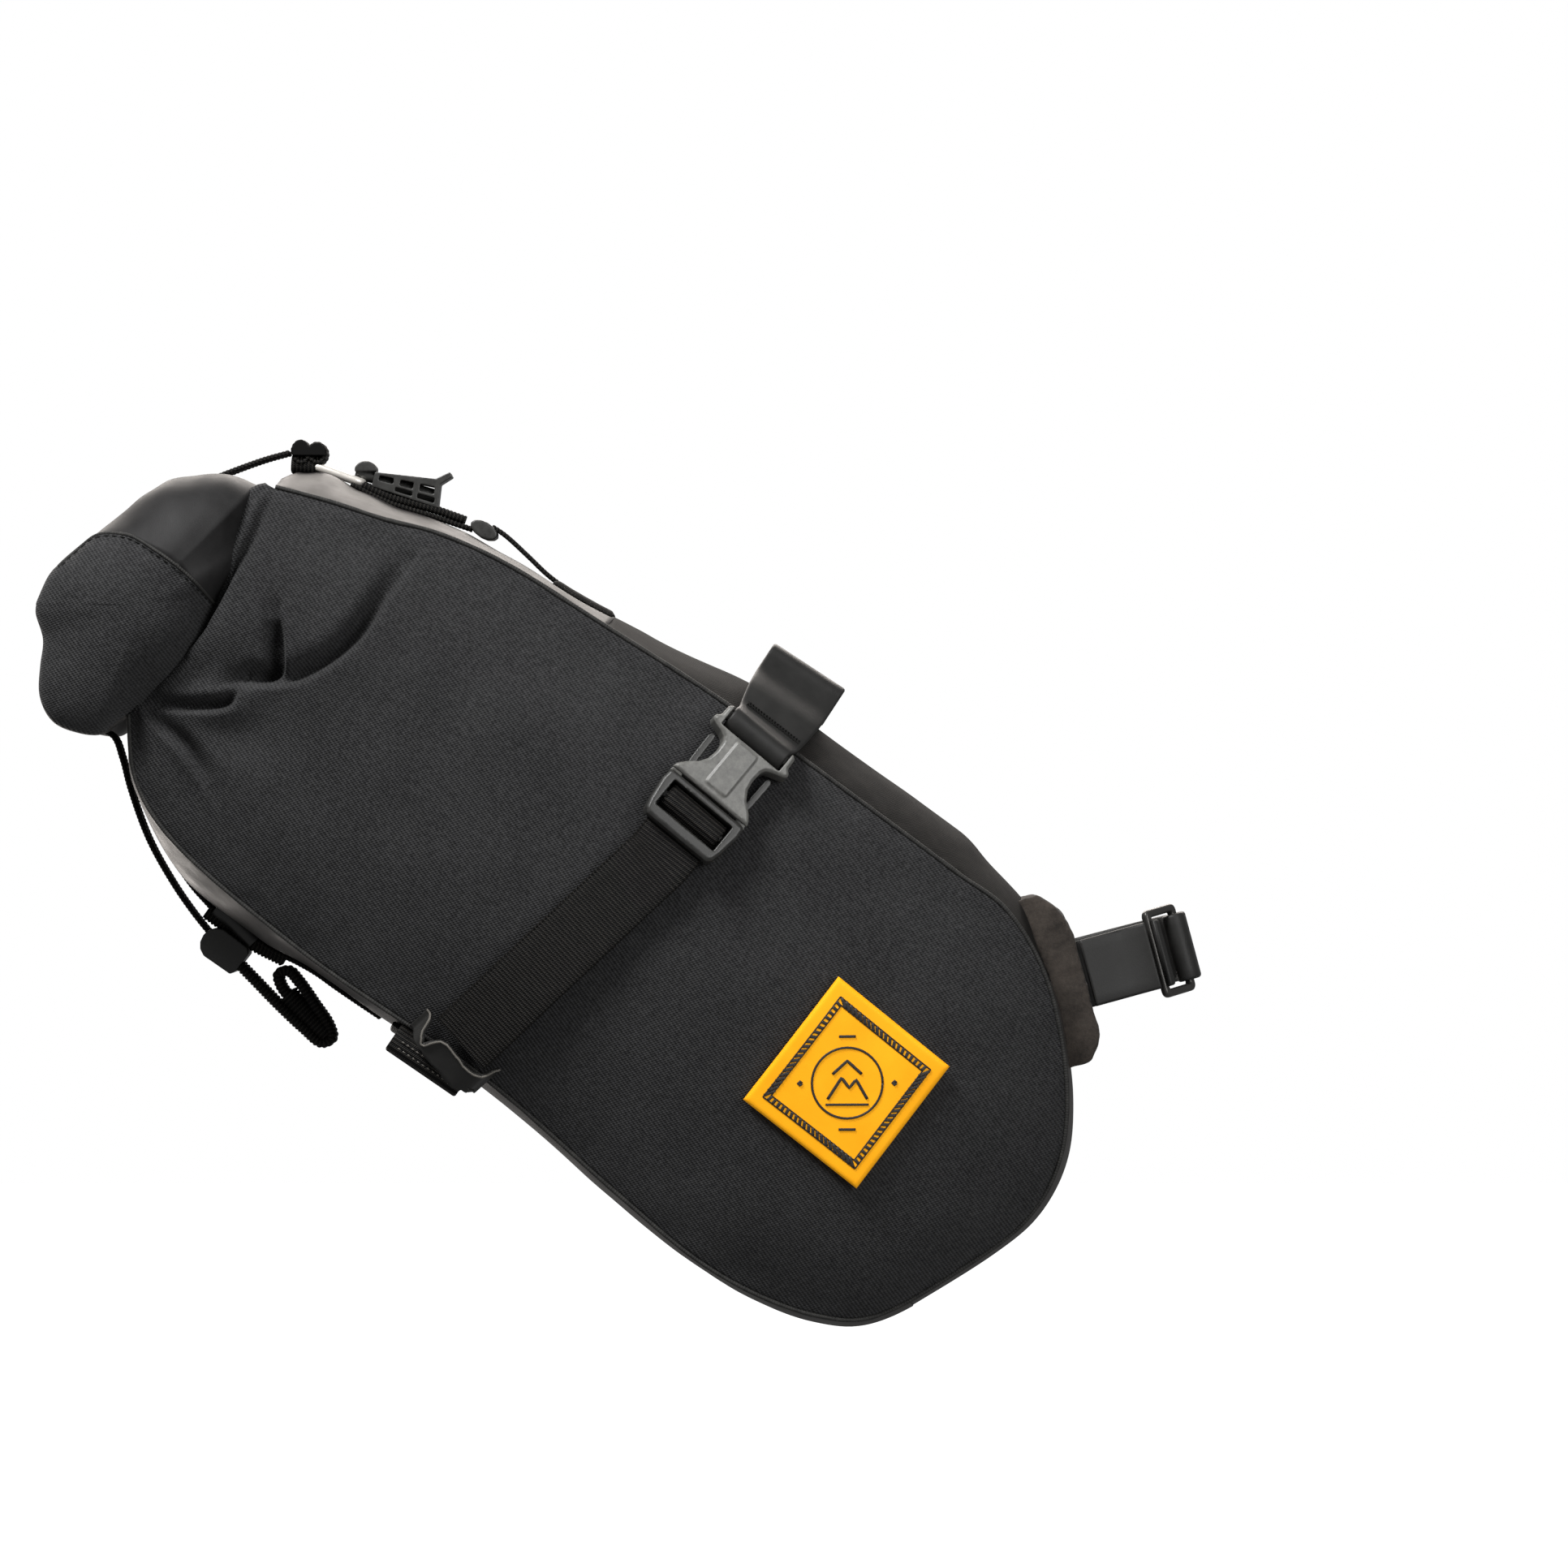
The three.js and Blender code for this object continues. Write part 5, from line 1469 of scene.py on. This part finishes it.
def badge_plate():
    """The moulded plate, which follows the side of the bag."""
    a, b, c, d = BADGE_CORNERS
    cells = np.linspace(-1, 1, BADGE_CELLS)
    rows = []
    for u in cells:
        row = []
        for v in cells:
            s, t = (u + 1) / 2, (v + 1) / 2
            place = (a * (1 - s) + b * s) * (1 - t) + (d * (1 - s) + c * s) * t
            gap = min(1 - abs(u), 1 - abs(v)) * BADGE_HALF
            drop = BADGE_EDGE * max(0.0, 1 - gap / BADGE_EDGE_WIDTH) ** 2
            row.append(on_badge(place, BADGE_GAP + BADGE_THICK - drop))
        rows.append(row)
    flat = paired(cells[:, None] * BADGE_CLOTH, cells * BADGE_CLOTH)
    obj = sheet_object("badge_plate", np.array(rows), flat, GLOWING_AMBER, BADGE_THICK)
    on_body(obj, "bag", "badge")


def joined(name, objects):
    """Several meshes as one object."""
    with bpy.context.temp_override(active_object=objects[0], object=objects[0],
                                   selected_editable_objects=objects):
        bpy.ops.object.join()
    objects[0].name = name
    return objects[0]


def ink_line(places, width):
    """A printed line through places given right and up from the badge's middle."""
    path = np.array([on_badge(BADGE_MIDDLE + place, INK_LIFT) for place in places])
    across = np.cross(unit(np.gradient(path, axis=0)), RIGHT)
    return strap("ink", path, across, width, INK_THICK, INK, step=0.8, curved=False)


def ink_ring(x, radius, width, steps):
    turns = np.linspace(0, 2 * math.pi, steps + 1)
    return ink_line(round_points(np.array([x, 0]), radius, turns, np.array([1, 0]),
                                 np.array([0, 1])), width)


def badge_frame():
    """A hatched line just inside the badge's edge."""
    corners = BADGE_CORNERS - BADGE_MIDDLE
    edges = [(corners[k], corners[(k + 1) % 4] - corners[k]) for k in range(4)]
    pieces = []
    for share in (BORDER_OUTSIDE, BORDER_INSIDE):
        for a, run in edges:
            pieces.append(ink_line([(a + run * t) * share for t in np.linspace(0, 1, 9)], 0.45))
    for a, run in edges:
        for t in np.linspace(0.015, 0.95, HATCHES):
            outer = (a + run * t) * BORDER_OUTSIDE
            inner = (a + run * (t + HATCH_LEAN)) * BORDER_INSIDE
            pieces.append(ink_line([outer, inner], 0.95))
    return joined("badge_frame", pieces)


def badge_emblem():
    """A plain device: a hill line under a chevron in a ring, between two dots and two bars."""
    pieces = [ink_ring(0, 10.2, 0.7, 40),
              ink_line([(-5.6, -4.6), (-1.6, 1.6), (0.6, -1.4), (2.6, 1.0), (5.8, -4.6)], 0.9),
              ink_line([(-4.2, 2.6), (0, 6.4), (4.2, 2.6)], 0.9),
              ink_line([(-6.2, -6.2), (6.2, -6.2)], 0.7)]
    for side in (-1, 1):
        pieces.append(ink_ring(side * 13.6, 0.55, 0.9, 10))
    for up in (-1, 1):
        pieces.append(ink_line([(-2.4, up * 13.4), (2.4, up * 13.4)], 0.8))
    return joined("badge_emblem", pieces)


badge_plate()
on_body(badge_frame(), "bag")
on_body(badge_emblem(), "bag")


# ---- Stage, in metres ----

SKY_LIGHT = 0.26
FLOOR_GLOW = 0.85
FLOOR_HALF = 4
FLOOR_HEIGHT = -0.302
LIT_MIDDLE = (-0.05, 0, -0.05)
WARM = (1, 0.93, 0.87)
CAMERA_PLACE = (-0.0045, -3.05, -0.0296)
CAMERA_REACH = 3.0
FRAME_WIDTH = 0.454  # what the camera sees at its reach
SENSOR = 36  # millimetres


def floor_paint():
    n = Nodes("floor", (0.92, 0.92, 0.92), 0.7, Emission_Color=(1, 1, 1, 1),
              Emission_Strength=FLOOR_GLOW)
    n.tint(n.noise(400, 2.0), 0.3, 0.7, (0.9, 0.9, 0.9), (0.93, 0.93, 0.93))
    return n.material


def floor():
    corners = [(x * FLOOR_HALF, y * FLOOR_HALF, FLOOR_HEIGHT)
               for x, y in ((-1, -1), (1, -1), (1, 1), (-1, 1))]
    obj = mesh_object("floor", np.array(corners) / MM, [[0, 1, 2, 3]], floor_paint(), smooth=False)
    obj.visible_diffuse = False
    obj.visible_glossy = False


def area_light(name, place, size, power, target=LIT_MIDDLE, color=(1, 1, 1)):
    data = bpy.data.lights.new(name, "AREA")
    data.shape = "RECTANGLE"
    data.size, data.size_y = size
    data.energy = power
    data.color = color
    obj = link(bpy.data.objects.new(name, data))
    obj.location = place
    aim = Vector(target) - Vector(place)
    obj.rotation_euler = aim.to_track_quat("-Z", "Y").to_euler()


def soft_world():
    """An even dim sky for the light, behind which the camera sees plain white."""
    world = bpy.data.worlds.new("studio")
    world.use_nodes = True
    tree = world.node_tree
    sky = tree.nodes["Background"]
    sky.inputs["Color"].default_value = (1, 1, 1, 1)
    seen = tree.nodes.new("ShaderNodeLightPath").outputs["Is Camera Ray"]
    strength = tree.nodes.new("ShaderNodeMapRange")
    tree.links.new(seen, strength.inputs[0])
    strength.inputs["To Min"].default_value = SKY_LIGHT
    strength.inputs["To Max"].default_value = 1.0
    tree.links.new(strength.outputs[0], sky.inputs["Strength"])
    return world


def studio():
    scene = bpy.context.scene
    scene.view_settings.view_transform = "Standard"
    scene.world = soft_world()
    area_light("key", (-0.5, -0.62, 0.9), (0.4, 0.4), 18.5)
    area_light("fill", (0.9, -1.3, 0.35), (0.8, 0.8), 12)
    area_light("low", (-0.5, 0.6, -0.26), (0.4, 0.2), 2.2, (-0.15, 0, -0.07), WARM)
    area_light("rim", (-0.15, 1.4, 0.95), (1.8, 0.9), 36, color=WARM)


def camera():
    data = bpy.data.cameras.new("camera")
    data.sensor_width = SENSOR
    data.lens = SENSOR * CAMERA_REACH / FRAME_WIDTH
    data.clip_start = 0.05
    data.clip_end = 40
    obj = link(bpy.data.objects.new("camera", data))
    obj.location = CAMERA_PLACE
    obj.rotation_euler = (math.radians(90), 0, 0)
    bpy.context.scene.camera = obj


floor()
studio()
camera()
